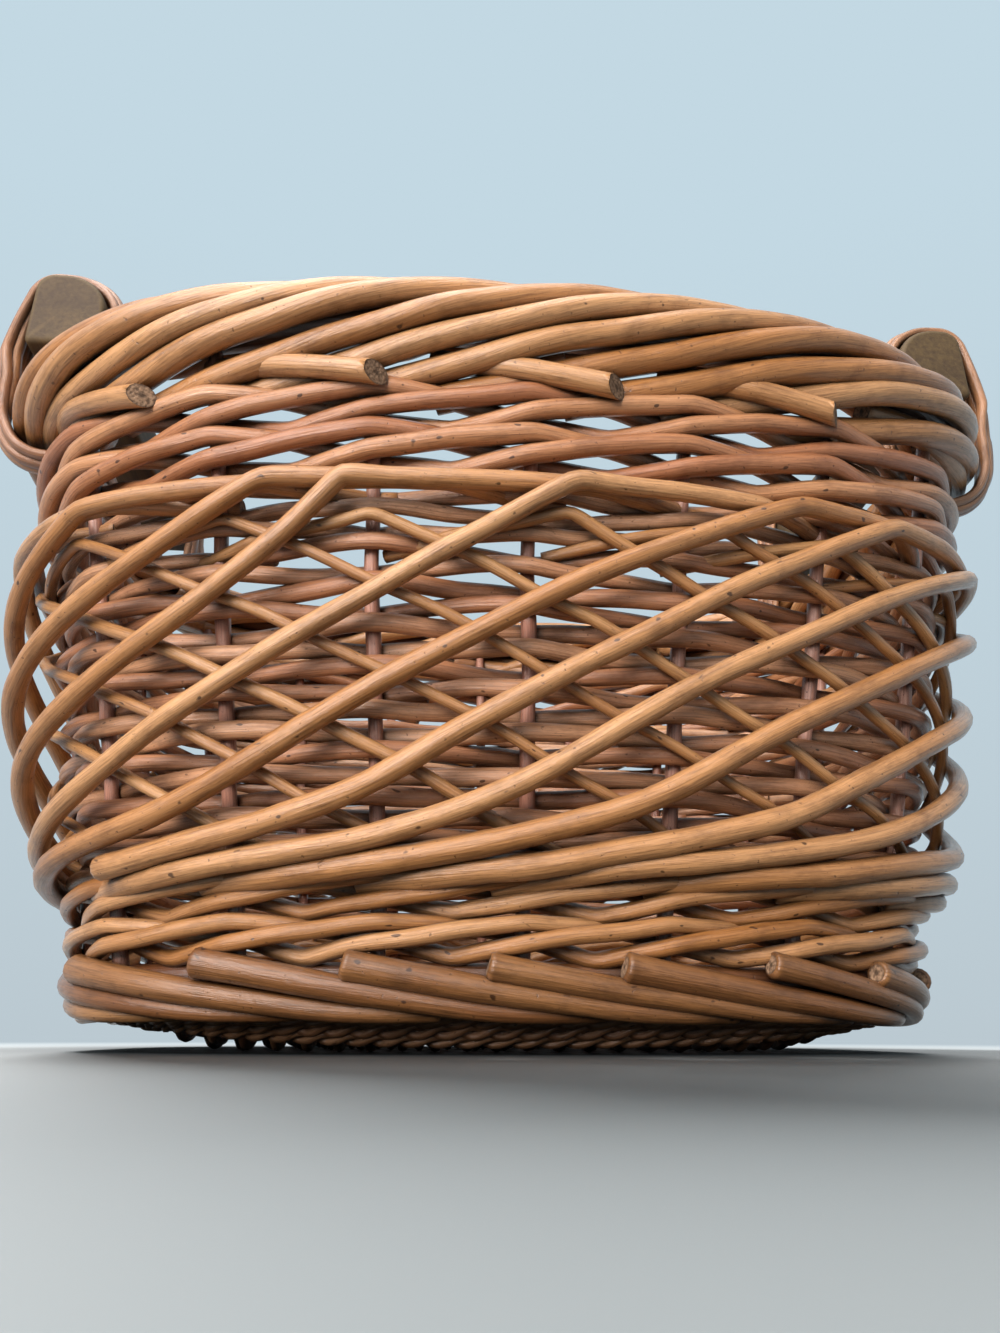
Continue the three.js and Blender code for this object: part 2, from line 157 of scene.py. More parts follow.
def rods(paths, radius, tone, sides=10, aside=(0, 0, 1), flat=1.0, rounding=(0.0, 0.0), slant=(0.0, 0.0)):
    """Rods as tubes with closed ends. Each ring is the path's point plus
    radius * (cos a * first + flat * sin a * second), where first is aside made square to the path
    and second is square to both. A rounding draws the rim of an end in on a quarter circle of that
    share of the radius, first at one end and then, with the rod turned about, at the other. A slant
    leans the cut along the rod. paths is rods x points x 3; the UV map holds the length in
    millimetres, a shift apart for each rod, and the turn round the rod."""
    count = paths.shape[0]
    radius = np.broadcast_to(radius, paths.shape[:2])
    aside = np.broadcast_to(aside, paths.shape)
    for share in rounding:
        if share > 0:
            inward = paths[:, 1] - paths[:, 0]
            inward = inward / np.linalg.norm(inward, axis=-1, keepdims=True)
            offset = share * radius[:, :1] * RIM_STEPS
            arc = paths[:, :1] + offset[..., None] * inward[:, None]
            drawn = radius[:, :1] * (1 - share * (1 - np.sqrt(1 - (1 - RIM_STEPS) ** 2)))
            sideways = np.repeat(aside[:, :1], len(RIM_STEPS), 1)
            paths = np.concatenate([arc, paths[:, 1:]], 1)
            radius = np.concatenate([drawn, radius[:, 1:]], 1)
            aside = np.concatenate([sideways, aside[:, 1:]], 1)
        paths, radius, aside = paths[:, ::-1], radius[:, ::-1], aside[:, ::-1]
    steps = paths.shape[1]
    ahead = np.gradient(paths, axis=1)
    ahead /= np.linalg.norm(ahead, axis=-1, keepdims=True)
    first = aside - (ahead * aside).sum(-1, keepdims=True) * ahead
    first /= np.linalg.norm(first, axis=-1, keepdims=True)
    second = np.cross(ahead, first)
    angle = 2 * np.pi * np.arange(sides) / sides
    cosine, sine = np.cos(angle)[:, None], np.sin(angle)[:, None]
    spoke = cosine * first[:, :, None] + flat * sine * second[:, :, None]
    rings = paths[:, :, None] + radius[:, :, None, None] * spoke
    for end, lean in zip((0, -1), slant):
        reach = lean * radius[:, end, None, None] * cosine
        rings[:, end] += reach * ahead[:, end, None]
    points = np.concatenate([rings.reshape(-1, 3), paths[:, 0], paths[:, -1]])

    index = np.arange(count * steps * sides).reshape(count, steps, sides)
    after = np.roll(index, -1, axis=2)
    quads = np.stack([index[:, :-1], after[:, :-1], after[:, 1:], index[:, 1:]], -1)
    middle = index.size + np.arange(2 * count).reshape(2, count, 1) + np.zeros((1, 1, sides), int)
    start = np.stack([middle[0], after[:, 0], index[:, 0]], -1)
    stop = np.stack([middle[1], index[:, -1], after[:, -1]], -1)

    length = np.linalg.norm(np.diff(paths, axis=1), axis=-1).cumsum(1)
    length = np.concatenate([np.zeros((count, 1)), length], 1) + GRAIN_SHIFT * np.arange(count)[:, None]
    turn = np.arange(sides) / sides
    here, there = length[:, :-1, None], length[:, 1:, None]
    u = np.stack(np.broadcast_arrays(here, here, there, there, turn)[:4], -1)
    v = np.broadcast_to(np.stack([turn, turn + 1 / sides, turn + 1 / sides, turn], -1), u.shape)
    cap_u = np.array((0.0, 1.0, 1.0))
    cap_v = np.stack([turn, turn, turn + 1 / sides], -1)
    cap_uv = np.stack(np.broadcast_arrays(cap_u, cap_v), -1)
    tones = np.asarray(tone, float)
    return {
        "points": points,
        "quads": quads.reshape(-1, 4),
        "caps": np.concatenate([start.reshape(-1, 3), stop.reshape(-1, 3)]),
        "uv": np.concatenate([
            np.stack([u, v], -1).reshape(-1, 2),
            np.tile(cap_uv.reshape(-1, 2), (2 * count, 1)),
        ]),
        "tone": np.concatenate([np.repeat(tones, steps * sides), tones, tones]),
    }


def piece(name, shape, materials, body, slot, *nodes):
    """A mesh object of worked-out arrays, in metres: side faces take the first material and cut
    ends the second. It moves with its body and stands for the CAD nodes."""
    mesh = bpy.data.meshes.new(name)
    quads, caps = shape["quads"], shape["caps"]
    corners = np.concatenate([quads.ravel(), caps.ravel()]).astype(np.int32)
    starts = np.concatenate([4 * np.arange(len(quads)), quads.size + 3 * np.arange(len(caps))])
    is_cap = np.arange(len(starts)) >= len(quads)
    mesh.vertices.add(len(shape["points"]))
    mesh.vertices.foreach_set("co", (METRE * shape["points"]).astype(np.float32).ravel())
    mesh.loops.add(len(corners))
    mesh.polygons.add(len(starts))
    mesh.polygons.foreach_set("loop_start", starts.astype(np.int32))
    mesh.polygons.foreach_set("vertices", corners)
    mesh.update(calc_edges=True)
    mesh.polygons.foreach_set("use_smooth", ~is_cap)
    mesh.polygons.foreach_set("material_index", is_cap.astype(np.int32))
    along_rod = mesh.uv_layers.new(name="along_rod")
    along_rod.uv.foreach_set("vector", shape["uv"].astype(np.float32).ravel())
    tone = mesh.attributes.new("tone", "FLOAT", "POINT")
    tone.data.foreach_set("value", shape["tone"].astype(np.float32))
    for material in materials:
        mesh.materials.append(material)
    made = bpy.data.objects.new(name, mesh)
    bpy.context.collection.objects.link(made)
    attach(made, body)
    if nodes:
        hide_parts(*nodes)


def linear(colour):
    """An sRGB hex colour as linear RGBA: c/12.92 up to 0.04045, else ((c+0.055)/1.055)^2.4."""
    c = np.array([int(colour[i:i + 2], 16) for i in (1, 3, 5)]) / 255
    return (*np.where(c <= 0.04045, c / 12.92, ((c + 0.055) / 1.055) ** 2.4).tolist(), 1.0)


def add_node(tree, kind, inputs=None, **settings):
    """Adds one shader node with its settings. Each named or numbered input takes a value or a link,
    and a node given as an input stands for its first output."""
    node = tree.nodes.new("ShaderNode" + kind)
    for key, value in settings.items():
        setattr(node, key, value)
    for key, value in (inputs or {}).items():
        if isinstance(value, bpy.types.Node):
            value = value.outputs[0]
        if isinstance(value, bpy.types.NodeSocket):
            tree.links.new(value, node.inputs[key])
        else:
            node.inputs[key].default_value = value
    return node


def bare_tree(owner):
    """The node tree of a material or a world, switched on and emptied."""
    owner.use_nodes = True
    owner.node_tree.nodes.clear()
    return owner.node_tree


def laid_over(tree, under, colour, value, low, high, most):
    """Lays a colour over another. Its share runs evenly from nothing at the low value to the most
    at the high one. Returns the new colour and that share."""
    share = add_node(tree, "MapRange", {
        "Value": value, "From Min": low, "From Max": high, "To Max": most})
    over = add_node(tree, "Mix", {0: share, 6: under, 7: linear(colour)}, data_type="RGBA")
    return over.outputs[2], share


def varnished_willow(name, pale, warm, dark):
    """Peeled willow under a glossy varnish. Boiling with the bark on leaves each rod its own shade
    from pale to warm, which drifts along it. Long fine streaks, dark bud scars every few
    centimetres and small specks show through the clear coat, which gives the highlights."""
    material = bpy.data.materials.new(name)
    tree = bare_tree(material)
    uv = add_node(tree, "UVMap", uv_map="along_rod")
    along = add_node(tree, "SeparateXYZ", {0: uv})
    turn = add_node(tree, "Math", {0: along.outputs[1], 1: 2 * np.pi}, operation="MULTIPLY")
    cosine = add_node(tree, "Math", {0: turn}, operation="COSINE")
    sine = add_node(tree, "Math", {0: turn}, operation="SINE")
    rod = add_node(tree, "CombineXYZ", {0: along, 1: cosine, 2: sine})
    tone = add_node(tree, "Attribute", attribute_name="tone").outputs["Fac"]

    # Shade drifts over about 60 mm, patches are about 14 mm long, streaks 25 mm by 0.7 mm, the fine
    # grain 8 mm by 0.3 mm, bud scars 3 mm by 2 mm and specks 1 mm. Each row gives a pattern's scale
    # along and round the rod, its detail and its roughness
    pattern = {}
    for mark, lengthwise, crosswise, detail, roughness in (
        ("drift", 0.016, 0.2, 2.0, 0.5),
        ("patch", 0.07, 0.55, 4.0, 0.62),
        ("streak", 0.04, 4.2, 3.0, 0.5),
        ("fine", 0.13, 10.0, 4.0, 0.65),
        ("scar", 0.2, 1.1, 1.0, 0.5),
        ("speck", 0.7, 2.4, 2.0, 0.5),
    ):
        stretched = add_node(tree, "VectorMath", {
            0: rod, 1: (lengthwise, crosswise, crosswise)}, operation="MULTIPLY")
        pattern[mark] = add_node(tree, "TexNoise", {
            "Vector": stretched, "Scale": 1.0, "Detail": detail, "Roughness": roughness})

    shade = add_node(tree, "Math", {0: tone, 1: pattern["drift"]}, operation="ADD")
    shown = laid_over(tree, linear(pale), warm, shade, 0.55, 1.45, 1.0)[0]
    # The marks darken that shade one after the other, where their pattern runs from a low to a high
    # value, up to the given share
    marked = {}
    for mark, low, high, most, colour in (
        ("fine", 0.48, 0.72, 0.5, dark),
        ("streak", 0.46, 0.8, 0.55, dark),
        ("patch", 0.5, 0.76, 0.55, dark),
        ("speck", 0.69, 0.75, 0.6, SPECK),
        ("scar", 0.73, 0.77, 0.8, BUD_SCAR),
    ):
        shown, marked[mark] = laid_over(tree, shown, colour, pattern[mark], low, high, most)

    # Painted shade, with some settled varnish and dust: the colour darkens where rods lie close together,
    # the more the less is open
    open_share = add_node(tree, "AmbientOcclusion", {"Distance": METRE * CREVICE_REACH}, samples=4)
    shown = laid_over(tree, shown, CREVICE_VARNISH_AND_SHADE, open_share.outputs["AO"], 0.66, 0.15, 0.85)[0]

    rough = add_node(tree, "MapRange", {
        "Value": pattern["patch"], "From Min": 0.3, "From Max": 0.7, "To Min": 0.34, "To Max": 0.52,
    })
    relief = add_node(tree, "Math", {0: pattern["streak"], 1: pattern["fine"]}, operation="ADD")
    height = add_node(tree, "Math", {0: relief, 1: marked["speck"]}, operation="SUBTRACT")
    bump = add_node(tree, "Bump", {"Strength": 0.4, "Distance": 0.0006, "Height": height})
    shader = add_node(tree, "BsdfPrincipled", {
        "Base Color": shown, "Roughness": rough, "IOR": 1.5, "Specular IOR Level": 0.2,
        "Normal": bump, "Coat Weight": 0.9, "Coat Roughness": 0.23, "Coat IOR": 1.5, "Coat Normal": bump,
    })
    add_node(tree, "OutputMaterial", {"Surface": shader})
    return material


def cut_willow(name):
    """The end of a rod cut with a knife: dry, rough and unvarnished, with a dark pith in the
    middle and a dark rim. u is 0 in the middle of the cut and 1 at its rim."""
    material = bpy.data.materials.new(name)
    tree = bare_tree(material)
    uv = add_node(tree, "UVMap", uv_map="along_rod")
    across = add_node(tree, "SeparateXYZ", {0: uv})
    place = add_node(tree, "TexCoord").outputs["Object"]
    # Torn fibres about 1 mm across
    fibre = add_node(tree, "TexNoise", {"Vector": place, "Scale": 900.0, "Detail": 4.0})
    shown = laid_over(tree, linear("#5d4937"), "#a98c70", fibre, 0.35, 0.65, 1.0)[0]
    # The pith in the middle, then the skin at the rim
    for low, high, most, colour in ((0.34, 0.14, 0.8, "#3a2a1c"), (0.8, 1.0, 0.75, "#3f2a1a")):
        shown = laid_over(tree, shown, colour, across, low, high, most)[0]
    bump = add_node(tree, "Bump", {"Strength": 0.7, "Distance": 0.0007, "Height": fibre})
    shader = add_node(tree, "BsdfPrincipled", {"Base Color": shown, "Roughness": 0.85, "Normal": bump})
    add_node(tree, "OutputMaterial", {"Surface": shader})
    return material


cut_end = cut_willow("cut_willow")
stake_willow = varnished_willow("varnished_stake_willow", "#d39e86", "#ad745c", "#633826")
rng = np.random.default_rng(3)
stake_number = np.arange(STAKES)[:, None]
stake_z = np.linspace(STAKE_BOTTOM, STAKE_TOP, STAKE_STEPS)[None]
stake_lean = sway(rng, STAKES, stake_z, *STAKE_SWAY)
stake_path = wall(stake_number + stake_lean, 0, stake_z)
stake_out = wall(stake_number, 1, stake_z) - wall(stake_number, 0, stake_z)
stake_width = STAKE_RADIUS * (1 + sway(rng, STAKES, stake_z, *STAKE_BULGE))
stakes = rods(stake_path, stake_width, rng.uniform(*STAKE_TONES, STAKES), aside=stake_out)
piece("stakes", stakes, (stake_willow, cut_end), "basket", "stake_willow",
      *[f"stake_{i + 1:02d}" for i in range(STAKES)])


# Base
# An oblong mat: five stout lengthwise sticks, shaved flat, with thinner rods woven over and under
# them from side to side. Its edge turns up into the foot border, and its middle stands on the floor.
BASE_Z = 5.2
BASE_RISE = 7.5
BASE_FLAT = 0.5
BASE_STICKS = 5
STICK_PITCH = 31.0
STICK_RADIUS = 4.0
STICK_FLAT = 0.42
WEAVER_RADIUS = 1.95
WEAVER_PITCH = 5.1
WEAVER_SWING = 3.15
EDGE_SWING = 0.5
WEAVER_STEPS = 71
WEAVER_MARGIN = 8.0
WEAVER_SCATTER = 0.3
WEAVER_SWAY = (0.35, 60)
WEAVER_WIDTHS = (0.92, 1.05)
STICK_STEPS = 61
STICK_TONES = (0.2, 0.7)

base_half = np.array(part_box("base_weave"))[1, :2] / METRE
base_willow = varnished_willow("varnished_base_willow", "#bb8d64", "#8d6244", "#4f341f")


def base_rise(x, y):
    """How far the base is turned up: nothing where |x/a|^2.2 + |y/b|^4 is below the flat share,
    and from there a smooth step up to the full rise at its edge."""
    edge = np.abs(x / base_half[0]) ** SIDE_EXPONENT + np.abs(y / base_half[1]) ** END_EXPONENT
    share = np.clip((edge - BASE_FLAT) / (1 - BASE_FLAT), 0, 1)
    return BASE_RISE * share ** 2 * (3 - 2 * share)


rng = np.random.default_rng(5)
stick_y = (np.arange(BASE_STICKS) - (BASE_STICKS - 1) / 2)[:, None] * STICK_PITCH
stick_reach = base_half[0] * (1 - np.abs(stick_y / base_half[1]) ** END_EXPONENT) ** (1 / SIDE_EXPONENT)
stick_x = stick_reach * np.linspace(-1, 1, STICK_STEPS)
stick_path = np.stack(np.broadcast_arrays(stick_x, stick_y, BASE_Z + base_rise(stick_x, stick_y)), -1)
stick_tone = rng.uniform(*STICK_TONES, BASE_STICKS)
sticks = rods(stick_path, STICK_RADIUS, stick_tone, sides=12, aside=(0, 1, 0), flat=STICK_FLAT)
piece("base_sticks", sticks, (stake_willow, cut_end), "basket", "stake_willow",
      *[f"base_stick_{i + 1:02d}" for i in range(BASE_STICKS)])

weaver_count = 2 * int((base_half[0] - WEAVER_MARGIN) / WEAVER_PITCH) + 1
weaver_number = np.arange(weaver_count)[:, None] - weaver_count // 2
weaver_x = weaver_number * WEAVER_PITCH
weaver_x = weaver_x + rng.uniform(-WEAVER_SCATTER, WEAVER_SCATTER, (weaver_count, 1))
weaver_edge = np.clip(1 - np.abs(weaver_x / base_half[0]) ** SIDE_EXPONENT, 0, 1) ** (1 / END_EXPONENT)
weaver_y = base_half[1] * weaver_edge * np.linspace(-1, 1, WEAVER_STEPS)
weaver_swing = WEAVER_SWING * np.cos(np.pi * (weaver_y / STICK_PITCH + weaver_number))
weaver_rise = base_rise(weaver_x, weaver_y)
weaver_swing = weaver_swing * (1 - (1 - EDGE_SWING) * weaver_rise / BASE_RISE)
weaver_z = BASE_Z + weaver_swing + weaver_rise
weaver_x = weaver_x + sway(rng, weaver_count, weaver_y[weaver_count // 2], *WEAVER_SWAY)
weaver_path = np.stack(np.broadcast_arrays(weaver_x, weaver_y, weaver_z), -1)
weaver_width = WEAVER_RADIUS * rng.uniform(*WEAVER_WIDTHS, (weaver_count, 1))
weavers = rods(weaver_path, weaver_width, rng.uniform(0, 1, weaver_count), sides=8)
piece("base_weavers", weavers, (base_willow, cut_end), "basket", "copper_willow", "base_weave")

# Pairs of thin rods are twined round the edge of the mat
PAIRING_OUT = np.array((-11.5, -15.5, -19.5))[:, None]
PAIRING_RADIUS = 1.8
PAIRING_TWIST = 1.5
PAIRING_HEAVE = 0.8
PAIRING_PERIOD = 0.42
PAIRING_DROP = 2.2
PAIRING_STEPS = 961

pairing_along = np.linspace(0, STAKES, PAIRING_STEPS)
pairing_turn = 2 * np.pi * pairing_along / PAIRING_PERIOD + np.arange(len(PAIRING_OUT))[:, None]
pairing_path = []
for half_turn in (0, np.pi):
    pairing_out = PAIRING_OUT + PAIRING_TWIST * np.cos(pairing_turn + half_turn)
    pairing_place = wall(pairing_along, pairing_out, FOOT_Z)
    pairing_lift = base_rise(pairing_place[..., 0], pairing_place[..., 1]) - PAIRING_DROP
    pairing_place[..., 2] = BASE_Z + pairing_lift + PAIRING_HEAVE * np.sin(pairing_turn + half_turn)
    pairing_path.append(pairing_place)
pairing_path = np.concatenate(pairing_path)
pairing = rods(pairing_path, PAIRING_RADIUS, rng.uniform(0, 1, len(pairing_path)), sides=7)
piece("base_pairing", pairing, (base_willow, cut_end), "basket", "copper_willow")


# Foot border
# Twenty thick rods, one a stake, finish the foot. Each shows its cut butt at the upper left, lies
# along the foot to the right and goes down under the next two. Plain rods fill the roll behind.
FOOT_RADIUS = 4.2
FOOT_STEPS = 57
FOOT_SOFTEN = 7
# Each place is stakes along the rod, millimetres out from the wall and height
FOOT_PLACES = np.array((
    (-0.3, 6.6, 24.6), (0.7, 6.2, 17.4), (1.7, 4.6, 11.9), (2.1, 3.0, 11.3), (2.5, -1.0, 11.6),
))
# Stakes along the rod and share of its radius
FOOT_TAPER = np.array(((-0.3, 1.1), (-0.18, 1.05), (0.1, 1.0), (2.5, 0.66)))
# Millimetres out from the wall and height
FILL_PLACES = np.array(((-1.5, 22.0), (-5.6, 21.6), (-1.8, 14.2), (-5.4, 13.8)))
FILL_RADIUS = 4.0
FILL_SWAY = (0.5, 3)
FILL_TONES = (0.7, 0.4, 0.8, 0.5)
FOOT_SCATTER = 0.08
FOOT_LIFTS = (-0.5, 1.2)
FOOT_LIFT_TO = 1.5
FOOT_ROUNDING = (0.32, 0.3)
FOOT_SLANT = (0.12, 0.0)
THICK_WIDTHS = (0.92, 1.06)
THICK_TONES = (0.0, 0.9)
RING_STEPS = 241
fill_willow = varnished_willow("varnished_fill_willow", "#9c6c42", "#6d3f22", "#3d2110")
# The foot rods take the honey willow painted darker: painted shade for the dimmer light near the floor
shaded_foot_willow = varnished_willow("varnished_foot_willow_painted_shade", "#a97c4d", "#825531", "#3b210f")
honey_willow = varnished_willow("varnished_honey_willow", "#d5a36f", "#b37a41", "#5a3415")


def through(places, along, soften):
    """A line through places, each a row of the place along the rod and its values there: straight
    runs, averaged over the given number of points on either side with rounded weights, which
    rounds the corners. The runs are carried straight on past both ends."""
    runs = np.stack([np.interp(along, places[:, 0], column) for column in places[:, 1:].T])
    first = 2 * runs[:, :1] - runs[:, soften:0:-1]
    last = 2 * runs[:, -1:] - runs[:, -2:-soften - 2:-1]
    weight = np.hanning(2 * soften + 3)[1:-1]
    padded = np.concatenate([first, runs, last], 1)
    return np.stack([np.convolve(line, weight / weight.sum(), "valid") for line in padded])


rng = np.random.default_rng(9)
foot_along = np.linspace(FOOT_PLACES[0, 0], FOOT_PLACES[-1, 0], FOOT_STEPS)
foot_out, foot_z = through(FOOT_PLACES, foot_along, FOOT_SOFTEN)
foot_shift = rng.uniform(-FOOT_SCATTER, FOOT_SCATTER, (STAKES, 1))
foot_lift = rng.uniform(*FOOT_LIFTS, (STAKES, 1)) * np.interp(foot_along, (0, FOOT_LIFT_TO), (1, 0))
foot_path = wall(stake_number + foot_shift + foot_along, foot_out, foot_z + foot_lift)
foot_width = FOOT_RADIUS * rng.uniform(*THICK_WIDTHS, (STAKES, 1)) * np.interp(foot_along, *FOOT_TAPER.T)
foot_rods = rods(foot_path, foot_width, rng.uniform(*THICK_TONES, STAKES), sides=14,
                 rounding=FOOT_ROUNDING, slant=FOOT_SLANT)
piece("foot_rods", foot_rods, (shaded_foot_willow, cut_end), "basket", "honey_willow", "foot_border")

fill_along = np.linspace(0, STAKES, RING_STEPS)[None]
fill_z = FILL_PLACES[:, 1:] + sway(rng, len(FILL_PLACES), fill_along, *FILL_SWAY)
fill_path = wall(fill_along, FILL_PLACES[:, :1], fill_z)
fill = rods(fill_path, FILL_RADIUS, FILL_TONES)
piece("foot_fill", fill, (fill_willow, cut_end), "basket", "copper_willow")


# Upsett
# Three thick rods are waled round just above the foot, in front of two stakes and behind one, and
# turn the stakes up. On the outside each stroke rises to the right and bends in with a sharp knee.
WALE_RODS = 3
WALE_STEPS = 18
WALE_SOFTEN = 1
# A stroke's places are stakes along, a share of the swing out and a share of the climb up
STROKE = np.array((
    (-1.0, -1.0, -0.1), (-0.5, 0.0, -0.6), (0.0, 1.0, -0.27), (0.5, 1.06, 0.0), (1.0, 1.02, 0.27),
    (1.5, 0.1, 0.17), (2.0, -1.0, -0.1),
))
STEP_UP = 0.06
WALE_TAIL = 0.3
WALE_SWAY = (0.7, 2.3)
WALE_DEPTH_SWAY = (0.06, 3.1)
WALE_BULGE = (0.08, 2.7)
UPSETT_RADIUS = 2.7
UPSETT_SWING = 5.3
UPSETT_START = 34.0
UPSETT_CLIMB = 12.4
UPSETT_ROUNDS = 2
UPSETT_TONES = (0.2, 0.55, 0.85)
copper_willow = varnished_willow("varnished_copper_willow", "#d6a57c", "#b67d56", "#552f1a")


def wale(rng, start_z, rounds, climb, swing, radius, tones):
    """The rods of a three-rod wale. Over three stakes a stroke stands out in front of the first two
    while it rises about half a climb, then dives behind the third. All step up one climb at the
    end of each round, and the three rods follow one another a stake apart."""
    rod = np.arange(WALE_RODS)[:, None]
    stop = STAKES * rounds + WALE_TAIL
    along = np.linspace(-WALE_TAIL, stop, int((stop + WALE_TAIL) * WALE_STEPS))
    repeats = np.arange(-1, STAKES * rounds // WALE_RODS + 2)[:, None]
    strokes = np.stack([
        (WALE_RODS * repeats + STROKE[:-1, 0]).ravel(),
        np.tile(STROKE[:-1, 1], len(repeats)), np.tile(STROKE[:-1, 2], len(repeats)),
    ], -1)
    out, lift = through(strokes, along, WALE_SOFTEN)
    turns = along / STAKES
    step = np.floor(turns) + np.clip((turns % 1.0 - 1 + STEP_UP) / STEP_UP, 0, 1)
    z = start_z + climb * (step + lift) + sway(rng, WALE_RODS, along, *WALE_SWAY)
    out = swing * out * (1 + sway(rng, WALE_RODS, along, *WALE_DEPTH_SWAY))
    path = wall(STAKES / 4 + along + rod, out, z)
    width = radius * (1 + sway(rng, WALE_RODS, np.arange(len(along)) / WALE_STEPS, *WALE_BULGE))
    return rods(path, width, tones)


rng = np.random.default_rng(12)
upsett = wale(rng, UPSETT_START, UPSETT_ROUNDS, UPSETT_CLIMB, UPSETT_SWING, UPSETT_RADIUS, UPSETT_TONES)
piece("upsett_rods", upsett, (honey_willow, cut_end), "basket", "honey_willow", "upsett_wale")


# Side weave
# Single rods are randed in front of one stake and behind the next, row on row, with a crisp bend
# at each stake. Two rods make a round, and their ends are tucked away inside.
RAND_ROWS = 18
RAND_BOTTOM = 57.6
RAND_PITCH = 6.475
RAND_RADIUS = 3.1
RAND_FLAT = 0.86
RAND_SWING = 4.1
RAND_REACH = STAKES // 2
RAND_TAIL = 0.34
RAND_TUCK = 2.6
RAND_CRISP = 0.96
RAND_STEPS = 161
RAND_DEPTH_SWAY = (0.1, 2.2)
RAND_SWAY = (1.0, 3.4)
# Heights, and how much of their sway the rods have there
RAND_LOOSE = ((60, 110, 160), (0.9, 1.2, 2.2))
RAND_WIDTHS = (0.86, 1.06)
RAND_BULGE = (0.06, 1.6)
TUCK_LEAD = 0.5

rng = np.random.default_rng(21)
row = np.arange(-1, RAND_ROWS)
row_start = 2 * rng.integers(0, STAKES // 2, len(row)) + (row + 1) % 2
rand_count = 2 * len(row)
first_stake = (row_start[:, None] + np.array((0, RAND_REACH))).reshape(-1, 1)
rand_along = np.linspace(-RAND_TAIL, RAND_REACH + RAND_TAIL, RAND_STEPS)[None]
bend = np.arcsin(RAND_CRISP * np.cos(np.pi * rand_along)) / np.arcsin(RAND_CRISP)
past_end = (np.abs(rand_along - RAND_REACH / 2) - RAND_REACH / 2) / RAND_TAIL
rand_out = -RAND_SWING * bend * (1 + sway(rng, rand_count, rand_along, *RAND_DEPTH_SWAY))
rand_out = rand_out - RAND_TUCK * np.clip(past_end + TUCK_LEAD, 0, 1)
rand_z = RAND_BOTTOM + RAND_PITCH * (np.repeat(row, 2)[:, None] + 0.5)
rand_loose = np.interp(rand_z, *RAND_LOOSE)
rand_z = rand_z + rand_loose * sway(rng, rand_count, rand_along, *RAND_SWAY)
rand_path = wall(first_stake + rand_along, rand_out, rand_z)
rand_width = RAND_RADIUS * rng.uniform(*RAND_WIDTHS, (rand_count, 1))
rand_width = rand_width * (1 + sway(rng, rand_count, rand_along, *RAND_BULGE))
randing = rods(rand_path, rand_width, rng.uniform(0, 1, rand_count), flat=RAND_FLAT)
piece("randed_rods", randing, (copper_willow, cut_end), "basket", "copper_willow", "side_weave")


# Falling lattice rods
# Twenty thin pale rods lie on the weave. Each comes out from behind a stake under the top wale,
# bends sharply over its peak, falls to the right and is tucked into the upsett.
FALL_RADIUS = 2.15
FALL_OUT = 8.7
FALL_PLACES = np.array((
    (-1.0, -1.0, 150.0), (-0.6, 5.5, 153.0), (0.15, 9.2, 160.5), (0.3, FALL_OUT, 157.0),
    (3.67, FALL_OUT, 72.0), (4.1, 4.5, 62.0), (4.4, 0.0, 58.0),
))
FALL_STEPS = 121
FALL_SOFTEN = 1
FALL_SCATTER = 0.14
FALL_SWAY = (1.4, 3.0)
FALL_WIDTHS = (0.88, 1.12)
FALL_TAPER = (1.08, 0.9)
FALL_TONES = (0.0, 0.8)
thin_willow = varnished_willow("varnished_pale_willow", "#cfa069", "#b07c49", "#6d3f19")

rng = np.random.default_rng(33)
fall_along = np.linspace(FALL_PLACES[0, 0], FALL_PLACES[-1, 0], FALL_STEPS)
fall_out, fall_z = through(FALL_PLACES, fall_along, FALL_SOFTEN)
fall_shift = rng.uniform(-FALL_SCATTER, FALL_SCATTER, (STAKES, 1))
fall_z = fall_z + sway(rng, STAKES, fall_along, *FALL_SWAY)
fall_path = wall(stake_number + fall_shift + fall_along, fall_out, fall_z)
fall_width = FALL_RADIUS * rng.uniform(*FALL_WIDTHS, (STAKES, 1)) * np.linspace(*FALL_TAPER, FALL_STEPS)
falling = rods(fall_path, fall_width, rng.uniform(*FALL_TONES, STAKES), sides=9)
piece("falling_rods", falling, (thin_willow, cut_end), "basket", "honey_willow", "under_lattice")


# Rising lattice rods
# Twenty thick rods cross over the thin ones. Their butt ends lie along the upsett, one above the
# other; each climbs to the right over four stakes, bends sharply and lies along the top wale.
RISE_RADIUS = 3.75
RISE_FIRST = 1 / 3
RISE_PLACES = np.array((
    (-2.5, 0.0, 47.5), (-1.95, 9.5, 49.5), (-1.2, 12.2, 53.5), (-0.25, 13.4, 60.0), (0.45, 14.85, 69.0),
    (3.95, 14.6, 168.5), (4.3, 12.6, 168.8), (5.1, 10.4, 169.2), (5.67, -2.5, 169.0), (5.85, -3.2, 169.0),
))
RISE_STEPS = 165
RISE_SOFT = 13
RISE_SHARP = 1
RISE_SWAY = (1.0, 4.0)
RISE_SCATTER = 0.06
RISE_WIDTHS = (0.93, 1.05)
RISE_TAPER = (1.06, 0.86)
RISE_BULGE = (0.04, 0.8)
RISE_ROUNDING = (0.3, 0.0)
SHARP_FROM = 3.2
SHARP_OVER = 0.3
KINK_FROM = 2.0
KINK_AT = 3.95
KINK_REST = 0.3
KINK_SCATTER = 0.22
# Five rods bend at the places that the photographed side shows, in stakes from the even ones
KINKS_IN_FRONT = slice(10, 15)
FRONT_SHIFT = (-0.46, -0.05, 0.35, 0.07, 0.08)
HEAD_AT = 5.67
STAND_OFF = 5.5
STAND_OFF_AT = 11.2
STAND_OFF_FROM = 0.2
STAND_OFF_WIDTH = 0.9
RISE_BUTTS = (3, 13)
BUTT_FROM = -1.25

